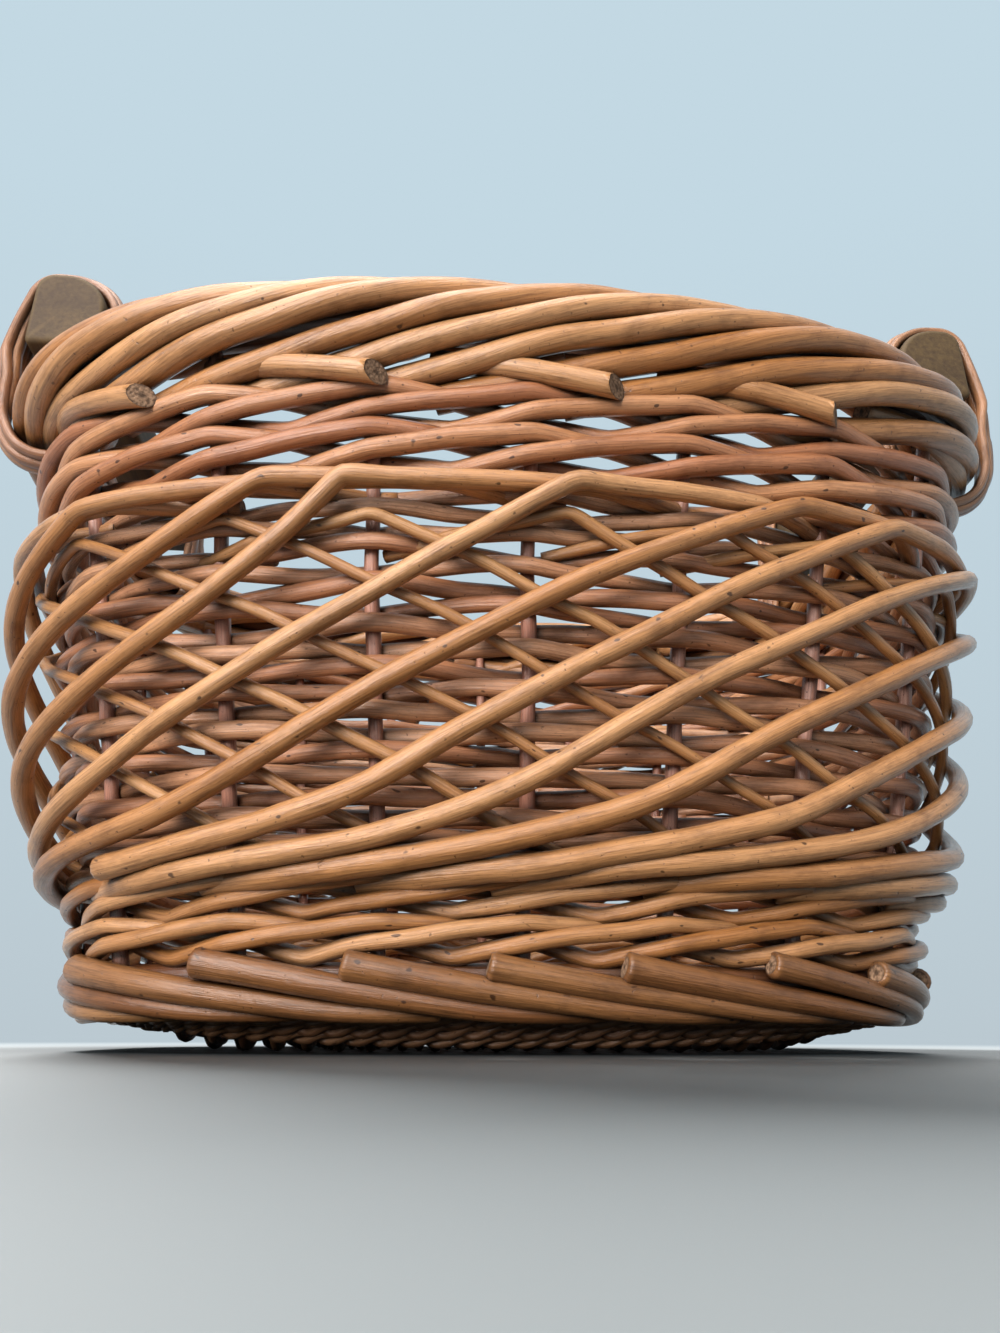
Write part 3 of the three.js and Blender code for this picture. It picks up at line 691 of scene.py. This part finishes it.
rng = np.random.default_rng(41)
rise_along = np.linspace(RISE_PLACES[0, 0], RISE_PLACES[-1, 0], RISE_STEPS)
rise_soft = through(RISE_PLACES, rise_along, RISE_SOFT)
rise_sharp = through(RISE_PLACES, rise_along, RISE_SHARP)
at_head = np.clip((rise_along - SHARP_FROM) / SHARP_OVER, 0, 1)
rise_out, rise_z = rise_soft + (rise_sharp - rise_soft) * at_head
kink_share = np.interp(rise_along, (KINK_FROM, KINK_AT, KINK_AT + KINK_REST, HEAD_AT), (0, 1, 1, 0))
kink_shift = rng.uniform(-KINK_SCATTER, KINK_SCATTER, (STAKES, 1))
kink_shift[KINKS_IN_FRONT, 0] = FRONT_SHIFT
rise_z = rise_z + sway(rng, STAKES, rise_along, *RISE_SWAY)
rise_shift = RISE_FIRST + rng.uniform(-RISE_SCATTER, RISE_SCATTER, (STAKES, 1))
rise_shift = rise_shift + kink_shift * kink_share ** 2
# Where they cross the end to rise along the side, the stiff rods stand off the corner
rise_stake = stake_number + rise_shift + rise_along
past_corner = (rise_stake - STAND_OFF_AT + STAKES / 4) % (STAKES / 2) - STAKES / 4
off_corner = STAND_OFF * np.exp(-(past_corner / STAND_OFF_WIDTH) ** 2)
on_run = np.clip((rise_along - STAND_OFF_FROM) / (KINK_AT - STAND_OFF_FROM), 0, 1)
rise_path = wall(rise_stake, rise_out + off_corner * np.sin(np.pi * on_run), rise_z)
rise_width = RISE_RADIUS * rng.uniform(*RISE_WIDTHS, (STAKES, 1)) * np.linspace(*RISE_TAPER, RISE_STEPS)
rise_width = rise_width * (1 + sway(rng, STAKES, rise_along, *RISE_BULGE))
rise_tone = rng.uniform(*THICK_TONES, STAKES)
butt_from = np.searchsorted(rise_along, BUTT_FROM)
for i in range(STAKES):
    from_step = butt_from if i in RISE_BUTTS else 0
    rising = rods(rise_path[i:i + 1, from_step:], rise_width[i:i + 1, from_step:], rise_tone[i:i + 1],
                  sides=12, rounding=RISE_ROUNDING)
    rising["uv"][:4 * len(rising["quads"]), 0] += GRAIN_SHIFT * i
    piece(f"rising_rod_{i + 1:02d}", rising, (honey_willow, cut_end), "basket", "honey_willow",
          f"lattice_rod_{i + 1:02d}")


# Top wale
# Three thicker rods are waled round above the lattice, like the upsett, with slits of light
# between their strokes.
TOP_RADIUS = 3.45
TOP_SWING = 5.4
TOP_START = 186.6
TOP_CLIMB = 14.2
TOP_ROUNDS = 2
TOP_TONES = (0.3, 0.6, 0.9)
wale_willow = varnished_willow("varnished_wale_willow", "#d6a070", "#b3774f", "#572f17")

rng = np.random.default_rng(52)
top_wale = wale(rng, TOP_START, TOP_ROUNDS, TOP_CLIMB, TOP_SWING, TOP_RADIUS, TOP_TONES)
piece("top_wale_rods", top_wale, (wale_willow, cut_end), "basket", "copper_willow", "top_wale")


# Rolled border
# Twenty-eight thick rods, in pairs, are laid over one another round the rim like the strands of a
# rope. Each comes out below, climbs the outside to the right, goes over the top and back inside.
BORDER_PAIRS = 14
BORDER_FIRST = 13.21
PAIR_STEP = 0.69
ROLL_RADIUS = 4.7
ROLL_LINE = 11.0
ROLL_STEPS = 113
ROLL_SOFTEN = 4
# Here each place is stakes along, degrees round the border and reach from its middle line
ROLL_PLACES = np.array((
    (-0.9, -106.0, 27.0), (-0.4, -97.0, 21.5), (0.0, -86.0, 17.0), (0.4, -67.0, 13.2),
    (0.8, -42.0, ROLL_LINE), (1.6, 14.0, ROLL_LINE),
    (2.65, 80.0, ROLL_LINE), (4.5, 200.0, ROLL_LINE), (4.8, 250.0, 5.5),
))
ROLL_SCATTER = 0.05
ROLL_REACH_SWAY = (0.4, 2.2)
ROLL_ANGLE_SWAY = (5.0, 3.4)
ROLL_TAPER = (1.06, 0.84)
ROLL_FOOT = 0.25
HELD_TO = 1.2
LASHING_STAKES = np.array((1.33, 8.67, 11.33, 18.67))
LASHING_KEEP = 0.8
CORE_RADIUS = 7.2
CORE_TONE = 0.9


def round_border(stake, angle, reach):
    """A place round the border's middle line: out from it by reach, turned by angle in degrees
    from the outward direction over the top."""
    middle = wall(stake, 0, BORDER_Z)
    outward = wall(stake, 1, BORDER_Z) - middle
    across = (reach * np.cos(np.radians(angle)))[..., None]
    above = (reach * np.sin(np.radians(angle)))[..., None]
    return middle + across * outward + above * np.array((0, 0, 1))


def lashing_gap(stake):
    """How far, in stakes and the short way round, a place is from the nearest lashing."""
    return np.abs((stake - LASHING_STAKES + STAKES / 2) % STAKES - STAKES / 2).min(1)


rng = np.random.default_rng(64)
pair_start = BORDER_FIRST + np.arange(BORDER_PAIRS)[:, None] * STAKES / BORDER_PAIRS
roll_start = (pair_start + np.array((0, PAIR_STEP))).reshape(-1, 1)
roll_count = len(roll_start)
roll_start = roll_start + rng.uniform(-ROLL_SCATTER, ROLL_SCATTER, (roll_count, 1))
roll_along = np.linspace(ROLL_PLACES[0, 0], ROLL_PLACES[-1, 0], ROLL_STEPS)
roll_angle, roll_reach = through(ROLL_PLACES, roll_along, ROLL_SOFTEN)
# Under a lashing the rod's foot stays inside the roll, so that the loop can swing
held_in = (lashing_gap(roll_start - ROLL_FOOT)[:, None] < LASHING_KEEP) & (roll_along < HELD_TO)
roll_reach = np.where(held_in, np.minimum(roll_reach, ROLL_LINE), roll_reach)
roll_reach = roll_reach + sway(rng, roll_count, roll_along, *ROLL_REACH_SWAY)
roll_angle = roll_angle + sway(rng, roll_count, roll_along, *ROLL_ANGLE_SWAY)
roll_stake = roll_start + roll_along
roll_path = round_border(roll_stake, roll_angle, roll_reach)
roll_width = ROLL_RADIUS * rng.uniform(*THICK_WIDTHS, (roll_count, 1))
roll_width = roll_width * np.linspace(*ROLL_TAPER, ROLL_STEPS)
roll_aside = roll_path - wall(roll_stake, 0, BORDER_Z)
roll_tone = rng.uniform(*THICK_TONES, roll_count)
border_rods = rods(roll_path, roll_width, roll_tone, sides=14, aside=roll_aside)
piece("border_rods", border_rods, (honey_willow, cut_end), "basket", "honey_willow", "rolled_border")

core_stake = np.linspace(0, STAKES, RING_STEPS)[None]
core = rods(wall(core_stake, 0, BORDER_Z), CORE_RADIUS, (CORE_TONE,), sides=12)
piece("border_core", core, (fill_willow, cut_end), "basket", "copper_willow")

# Cut butts of border rods poke out below the roll, pointing right
BUTT_END = 14.06
BUTT_RADIUS = 4.0
BUTT_STEPS = 25
BUTT_PLACES = np.array(((-1.1, -3.0, 219.0), (-0.6, 6.5, 211.5), (0.0, 12.0, 203.5)))
BUTT_SOFTEN = 4
BUTT_MIDDLE = 0.4
BUTT_LIFTS = (-0.5, 2.5)
BUTT_TONES = (0.1, 0.6)
BUTT_SLANT = (0.0, -0.75)

butt_along = np.linspace(BUTT_PLACES[0, 0], BUTT_PLACES[-1, 0], BUTT_STEPS)
butt_out, butt_z = through(BUTT_PLACES, butt_along, BUTT_SOFTEN)
butt_stake = BUTT_END + np.arange(BORDER_PAIRS)[:, None] * STAKES / BORDER_PAIRS
butt_stake = butt_stake[lashing_gap(butt_stake - BUTT_MIDDLE) > LASHING_KEEP]
butt_lift = rng.uniform(*BUTT_LIFTS, (len(butt_stake), 1)) * np.linspace(0, 1, BUTT_STEPS)
butt_place = butt_stake + butt_along
butt_path = wall(butt_place, butt_out, butt_z + butt_lift)
butt_aside = wall(butt_place, butt_out + 1, butt_z) - wall(butt_place, butt_out, butt_z)
butt_tone = rng.uniform(*BUTT_TONES, len(butt_stake))
butts = rods(butt_path, BUTT_RADIUS, butt_tone, sides=14, aside=butt_aside, slant=BUTT_SLANT)
piece("border_butts", butts, (honey_willow, cut_end), "basket", "honey_willow")


# Grips
# Each grip is a block of dry hardwood with rounded edges, waisted for the hand. It hangs in its two
# lashings above the border and rocks with them. Its inner top edge is the rounder one.
GRIP_HALF_WIDTH = 14.25
GRIP_INNER_RADIUS = 18.0
GRIP_OUTER_RADIUS = 7.0
GRIP_BOTTOM_RADIUS = 2.6
GRIP_END_RADIUS = 2.2
GRIP_WAIST = 3.0
GRIP_WAIST_REACH = 63.5
CORNER_STEPS = 12
END_STEPS = 6
GRIP_LENGTH_STEPS = 61

grip_wood = bpy.data.materials.new("dry_stained_hardwood")
tree = bare_tree(grip_wood)
place = add_node(tree, "TexCoord").outputs["Object"]
# Grain runs along the grip: lines about 2 mm apart and 60 mm long, pores 0.6 mm by 6 mm and stains
# 22 mm by 50 mm. Each row gives a pattern's scale across and along, detail, roughness, distortion
pattern = {}
for mark, crosswise, lengthwise, detail, roughness, distortion in (
    ("grain", 520.0, 14.0, 5.0, 0.6, 0.4),
    ("pore", 1700.0, 170.0, 2.0, 0.5, 0.0),
    ("stain", 45.0, 20.0, 3.0, 0.5, 0.0),
):
    stretched = add_node(tree, "VectorMath", {
        0: place, 1: (crosswise, lengthwise, crosswise)}, operation="MULTIPLY")
    pattern[mark] = add_node(tree, "TexNoise", {
        "Vector": stretched, "Scale": 1.0, "Detail": detail, "Roughness": roughness,
        "Distortion": distortion})
shown = laid_over(tree, linear("#463726"), "#5f4f33", pattern["grain"], 0.32, 0.68, 1.0)[0]
for mark, low, high, most, colour in (
    ("stain", 0.45, 0.7, 0.5, "#372a1e"),
    ("pore", 0.62, 0.7, 0.5, "#3b2c1e"),
):
    shown = laid_over(tree, shown, colour, pattern[mark], low, high, most)[0]
# Rubbed edges are paler
wear = add_node(tree, "Attribute", attribute_name="tone").outputs["Fac"]
worn = laid_over(tree, shown, "#72603f", wear, 0.0, 1.0, 0.35)[0]
bump = add_node(tree, "Bump", {"Strength": 0.4, "Distance": 0.0006, "Height": pattern["grain"]})
shader = add_node(tree, "BsdfPrincipled", {
    "Base Color": worn, "Roughness": 0.66, "IOR": 1.5, "Specular IOR Level": 0.35, "Normal": bump})
add_node(tree, "OutputMaterial", {"Surface": shader})


def grip_block(low, high, facing):
    """A grip as a section carried along Y. The section's four corners are quarter circles; it is
    drawn in by up to the waist in the middle of the length, by one minus the square of the place,
    and its two ends are rounded over a quarter circle to a flat end face. facing is the side, +1
    or -1 along X, that is away from the basket."""
    middle = (low + high) / 2
    half_height = (high[2] - low[2]) / 2
    right_radius, left_radius = (GRIP_OUTER_RADIUS, GRIP_INNER_RADIUS)[::facing]
    quarter = np.linspace(0, np.pi / 2, CORNER_STEPS)
    corner_x, corner_z, worn_edge = [], [], []
    # Side, up or down, radius, and where the quarter circle starts in half turns
    corners = ((1, -1, GRIP_BOTTOM_RADIUS, -0.5), (1, 1, right_radius, 0.0),
               (-1, 1, left_radius, 0.5), (-1, -1, GRIP_BOTTOM_RADIUS, 1.0))
    for side, up, radius, start in corners:
        corner_x.append(side * (GRIP_HALF_WIDTH - radius) + radius * np.cos(quarter + start * np.pi))
        corner_z.append(up * (half_height - radius) + radius * np.sin(quarter + start * np.pi))
        worn_edge.append(np.sin(2 * quarter) * GRIP_BOTTOM_RADIUS / radius)
    section = np.stack([np.concatenate(corner_x), np.concatenate(corner_z)], -1)
    sides = len(section)
    reach = high[1] - middle[1]
    rounding = np.linspace(0, np.pi / 2, END_STEPS + 1)
    end_y = reach - GRIP_END_RADIUS * (1 - np.sin(rounding))
    straight = np.linspace(-reach + GRIP_END_RADIUS, reach - GRIP_END_RADIUS, GRIP_LENGTH_STEPS)
    along = np.concatenate([-end_y[:0:-1], straight, end_y[1:]])
    inset = np.zeros_like(along)
    inset[:END_STEPS] = GRIP_END_RADIUS * (1 - np.cos(rounding[:0:-1]))
    inset[-END_STEPS:] = inset[END_STEPS - 1::-1]
    drawn = GRIP_WAIST / half_height * (1 - np.clip(np.abs(along) / GRIP_WAIST_REACH, 0, 1) ** 2)
    scale = 1 - drawn - inset / GRIP_HALF_WIDTH
    points = np.empty((len(along), sides, 3))
    points[..., 0] = middle[0] + scale[:, None] * section[:, 0]
    points[..., 1] = middle[1] + along[:, None]
    points[..., 2] = middle[2] + scale[:, None] * section[:, 1]
    index = np.arange(len(along) * sides).reshape(len(along), sides)
    after = np.roll(index, -1, axis=1)
    quads = np.stack([index[:-1], index[1:], after[1:], after[:-1]], -1).reshape(-1, 4)
    near = np.full(sides, index.size)
    start = np.stack([near, index[0], after[0]], -1)
    stop = np.stack([near + 1, after[-1], index[-1]], -1)
    tips = [(middle[0], low[1], middle[2]), (middle[0], high[1], middle[2])]
    worn_end = np.where(inset > 0, np.sin(np.pi * np.clip(inset / GRIP_END_RADIUS, 0, 1)), 0)
    worn = np.maximum(np.concatenate(worn_edge), worn_end[:, None])
    corner_count = 4 * len(quads) + 3 * 2 * sides
    return {
        "points": np.concatenate([points.reshape(-1, 3), tips]),
        "quads": quads,
        "caps": np.concatenate([start, stop]),
        "uv": np.zeros((corner_count, 2)),
        "tone": np.concatenate([worn.ravel(), (0, 0)]),
    }


for side, facing in (("left", -1), ("right", 1)):
    grip_low, grip_high = np.array(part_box(f"grip_{side}")) / METRE
    piece(f"{side}_grip", grip_block(grip_low, grip_high, facing), (grip_wood, grip_wood),
          f"handle_{side}", "grip_wood", f"grip_{side}")


# Lashings
# Split willow skeins are wound in two loops round each grip and the border under it. They lie side
# by side over the grip, bulge on the outside, and are drawn together below the border.
SKEINS = 7
SKEIN_LANES = 5
SKEIN_RADIUS = 2.8
SKEIN_FLAT = 0.72
SKEIN_PITCH = 4.0
SKEIN_STEPS = 161
SKEIN_SPREAD = 2.1
SKEIN_OVER = 3.8
LOOP_SLACK = 1.5
LOOP_ROOM = 0.4
LOOP_START = 1.1
LOOP_STOP = 1.35
UNDER_STEPS = 40
OVER_STEPS = 16
BACK_STEPS = 14
BULGE_BELOW = 8.0
BULGE_SPARE = 12.0
BULGE_SIDE = 8.0
LANE_BULGE = (0.5, 5)
OVER_BULGE = (4, 8)
OVER_LANE = 2.2
DRAWN_IN = 0.55
DRAWN_OVER = 25.0
LEAN_OVER = 12.0
SKEIN_SKEW = 2.5
SKEIN_WAVE = (0.3, 1.2)
WAVE_START = 6.0
SKEIN_TONES = (0.0, 0.8)
skein_willow = varnished_willow("split_willow_skein", "#bd8d63", "#946546", "#4d2f1d")

lashing_low, lashing_high = np.array(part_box("lashing_right_far")) / METRE
lashing_y = (lashing_low[1] + lashing_high[1]) / 2
edge_y = np.array((lashing_low[1], lashing_high[1]))
edge_x = RIM_HALF[0] * (1 - (edge_y / RIM_HALF[1]) ** END_EXPONENT) ** (1 / SIDE_EXPONENT)
lashing_slope = (edge_x[1] - edge_x[0]) / (edge_y[1] - edge_y[0])
right_low, right_high = np.array(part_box("grip_right")) / METRE
swing_x = (right_low[0] + right_high[0]) / 2


def skein_loop(spread, bulge):
    """One loop in the plane across the grip, as x away from the swing axis and height. It starts
    inside, runs under the border on a half circle about its middle line, up the outside, over the
    grip's rounded top and down again, overlapping its start. The outside bulges by a half sine."""
    low = BORDER_RADIUS * np.hypot(1, lashing_slope) + LOOP_SLACK + spread
    high = GRIP_HALF_WIDTH + LOOP_ROOM + spread
    outer = GRIP_OUTER_RADIUS + spread
    inner = GRIP_INNER_RADIUS + spread
    top = right_high[2] + LOOP_ROOM + spread
    under = np.linspace(np.pi * LOOP_START, 2 * np.pi, UNDER_STEPS)
    quarter = np.linspace(0, np.pi / 2, OVER_STEPS)
    back = np.linspace(np.pi, np.pi * LOOP_STOP, BACK_STEPS)
    x = np.concatenate([
        low * np.cos(under), high - outer + outer * np.cos(quarter),
        inner - high - inner * np.sin(quarter), low * np.cos(back),
    ])
    z = np.concatenate([
        BORDER_Z + low * np.sin(under), top - outer + outer * np.sin(quarter),
        top - inner + inner * np.cos(quarter), BORDER_Z + low * np.sin(back),
    ])
    walked = np.concatenate(([0.0], np.hypot(np.diff(x), np.diff(z)).cumsum()))
    even = np.linspace(0, walked[-1], SKEIN_STEPS)
    x, z = np.interp(even, walked, x), np.interp(even, walked, z)
    rise = np.clip((z - BORDER_Z + BULGE_BELOW) / (top - outer - BORDER_Z + BULGE_SPARE), 0, 1)
    x = x + bulge * np.sin(np.pi * rise) * np.clip(x / BULGE_SIDE, 0, 1)
    return x, z


rng = np.random.default_rng(77)
share = np.linspace(0, 1, SKEIN_STEPS)
for side, facing in (("left", -1), ("right", 1)):
    for end, way in (("near", -1), ("far", 1)):
        loops = []
        for i in range(SKEINS):
            inner = i < SKEIN_LANES
            lane = i - (SKEIN_LANES - 1) / 2 if inner else OVER_LANE * (i - SKEIN_LANES - 0.5)
            bulge = rng.uniform(*LANE_BULGE if inner else OVER_BULGE)
            loop_x, loop_z = skein_loop(SKEIN_SPREAD if inner else SKEIN_OVER, bulge)
            drawn_in = DRAWN_IN + (1 - DRAWN_IN) * np.clip((loop_z - BORDER_Z) / DRAWN_OVER, 0, 1)
            across = SKEIN_PITCH * lane * drawn_in + (share - 0.5) * rng.uniform(-SKEIN_SKEW, SKEIN_SKEW)
            wave = rng.uniform(*SKEIN_WAVE)
            across = across + wave * np.sin(2 * np.pi * share + rng.uniform(0, WAVE_START))
            lean = np.clip((grip_low[2] - loop_z) / LEAN_OVER, 0, 1) * lashing_slope * across
            x = facing * (swing_x + loop_x + lean)
            y = way * (lashing_y + across)
            loops.append(np.stack([x, y, loop_z], -1))
        skein_tone = rng.uniform(*SKEIN_TONES, SKEINS)
        skeins = rods(np.array(loops), SKEIN_RADIUS, skein_tone, aside=(0, 1, 0), flat=SKEIN_FLAT)
        piece(f"{side}_{end}_lashing", skeins, (skein_willow, cut_end), f"handle_{side}", "lashing_willow",
              f"lashing_{side}_{end}")


# Floor, backdrop and light
# A plain pale floor under a soft, slightly blue studio sky. A lamp overhead and a key lamp in front
# light the basket. Two lights from behind fall on the floor alone, so the shadow comes forward.
SKY_HIGH = "#c3d8e3"
SKY_LOW = "#bbc9d1"
FLOOR = "#b4bbbc"
FLOOR_SHADE = "#0c0d0c"
FLOOR_BOUNCE = "#5c6062"
FLOOR_SIZE = 6.0
SHADE_REACH = 0.1
SHADE_POWER = 1.2
FADE_SHIFT = (0.0, 0.25, 0.0)
FADE_FROM = 0.3
FADE_TO = 0.6
AMBIENT = "#d5e2ea"
AMBIENT_STRENGTH = 0.18
SKY_HIGH_AT = 0.7
AIM = np.array((0.0, 0.0, 0.13))
# Name, kind, place, size or angle, power, colour and what it lights
LAMPS = (
    ("overhead_lamp", "AREA", (-0.3, -0.45, 1.5), 1.0, 19.0, "#fff6f0", "basket_light"),
    ("key_lamp", "AREA", (-0.9, -1.5, 0.75), 1.2, 52.0, "#fff2ec", "basket_light"),
    ("left_back_light", "SUN", (-0.66, 1.0, 1.08), np.radians(18), 4.6, "#ffffff", "floor_light"),
    ("right_back_light", "SUN", (0.66, 1.0, 1.08), np.radians(18), 2.0, "#ffffff", "floor_light"),
)


def in_view(tree):
    """One for rays that the eye follows straight, mirrored or through glass, and nought for
    scattered light, as the largest of the three kinds."""
    path = add_node(tree, "LightPath")
    seen = path.outputs["Is Camera Ray"]
    for kind in ("Is Glossy Ray", "Is Transmission Ray"):
        seen = add_node(tree, "Math", {0: seen, 1: path.outputs[kind]}, operation="MAXIMUM")
    return seen


floor_mesh = bpy.data.meshes.new("floor")
floor_corner = np.array(((-1, -1, 0), (1, -1, 0), (1, 1, 0), (-1, 1, 0))) * FLOOR_SIZE / 2
floor_mesh.from_pydata(floor_corner.tolist(), [], [(0, 1, 2, 3)])
floor = bpy.data.objects.new("floor", floor_mesh)
bpy.context.collection.objects.link(floor)
floor_paint = bpy.data.materials.new("matte_floor_paint")
tree = bare_tree(floor_paint)
# Painted shadow: the floor's colour darkens towards FLOOR_SHADE where something stands near, and the floor
# throws back less light than the eye sees
near = add_node(tree, "AmbientOcclusion", {"Distance": SHADE_REACH}, samples=8)
shade = add_node(tree, "Math", {0: near.outputs["AO"], 1: SHADE_POWER}, operation="POWER")
shaded = add_node(tree, "Mix", {
    0: shade, 6: linear(FLOOR_SHADE), 7: linear(FLOOR)}, data_type="RGBA").outputs[2]
seen = in_view(tree)
painted = add_node(tree, "Mix", {
    0: seen, 6: linear(FLOOR_BOUNCE), 7: shaded}, data_type="RGBA").outputs[2]
shader = add_node(tree, "BsdfPrincipled", {"Base Color": painted, "Roughness": 0.8})
# Far off, the floor sweeps up into the backdrop
place = add_node(tree, "TexCoord").outputs["Object"]
off_middle = add_node(tree, "VectorMath", {0: place, 1: FADE_SHIFT}, operation="ADD")
far = add_node(tree, "VectorMath", {0: off_middle}, operation="LENGTH").outputs["Value"]
fade = add_node(tree, "MapRange", {
    "Value": far, "From Min": FADE_FROM, "From Max": FADE_TO}, interpolation_type="SMOOTHSTEP")
fade = add_node(tree, "Math", {0: fade, 1: seen}, operation="MULTIPLY")
sweep = add_node(tree, "Emission", {"Color": linear(SKY_LOW), "Strength": 1.0})
swept = add_node(tree, "MixShader", {0: fade, 1: shader, 2: sweep})
add_node(tree, "OutputMaterial", {"Surface": swept})
floor_mesh.materials.append(floor_paint)

world = bpy.data.worlds.new("studio")
bpy.context.scene.world = world
tree = bare_tree(world)
seen = in_view(tree)
ambient = add_node(tree, "Background", {"Color": linear(AMBIENT), "Strength": AMBIENT_STRENGTH})
toward = add_node(tree, "TexCoord").outputs["Generated"]
height = add_node(tree, "SeparateXYZ", {0: toward}).outputs[2]
sky = laid_over(tree, linear(SKY_LOW), SKY_HIGH, height, 0.0, SKY_HIGH_AT, 1.0)[0]
backdrop = add_node(tree, "Background", {"Color": sky, "Strength": 1.0})
mixed = add_node(tree, "MixShader", {0: seen, 1: ambient, 2: backdrop})
add_node(tree, "OutputWorld", {"Surface": mixed})

lit = {name: bpy.data.collections.new(name) for name in ("basket_light", "floor_light")}
for thing in bpy.context.scene.objects:
    if thing.type == "MESH":
        lit["floor_light" if thing == floor else "basket_light"].objects.link(thing)
for name, kind, place, size, power, colour, lights in LAMPS:
    lamp = bpy.data.lights.new(name, kind)
    setattr(lamp, "angle" if kind == "SUN" else "size", size)
    lamp.energy = power
    lamp.color = linear(colour)[:3]
    holder = bpy.data.objects.new(name, lamp)
    bpy.context.collection.objects.link(holder)
    holder.light_linking.receiver_collection = lit[lights]
    away = np.array(place) - AIM
    away /= np.linalg.norm(away)
    across = np.cross((0, 0, 1), away)
    across /= np.linalg.norm(across)
    turned = Matrix(np.stack([across, np.cross(away, across), away], 1).tolist()).to_4x4()
    holder.matrix_world = Matrix.Translation(place) @ turned

bpy.context.scene.view_settings.view_transform = "Standard"
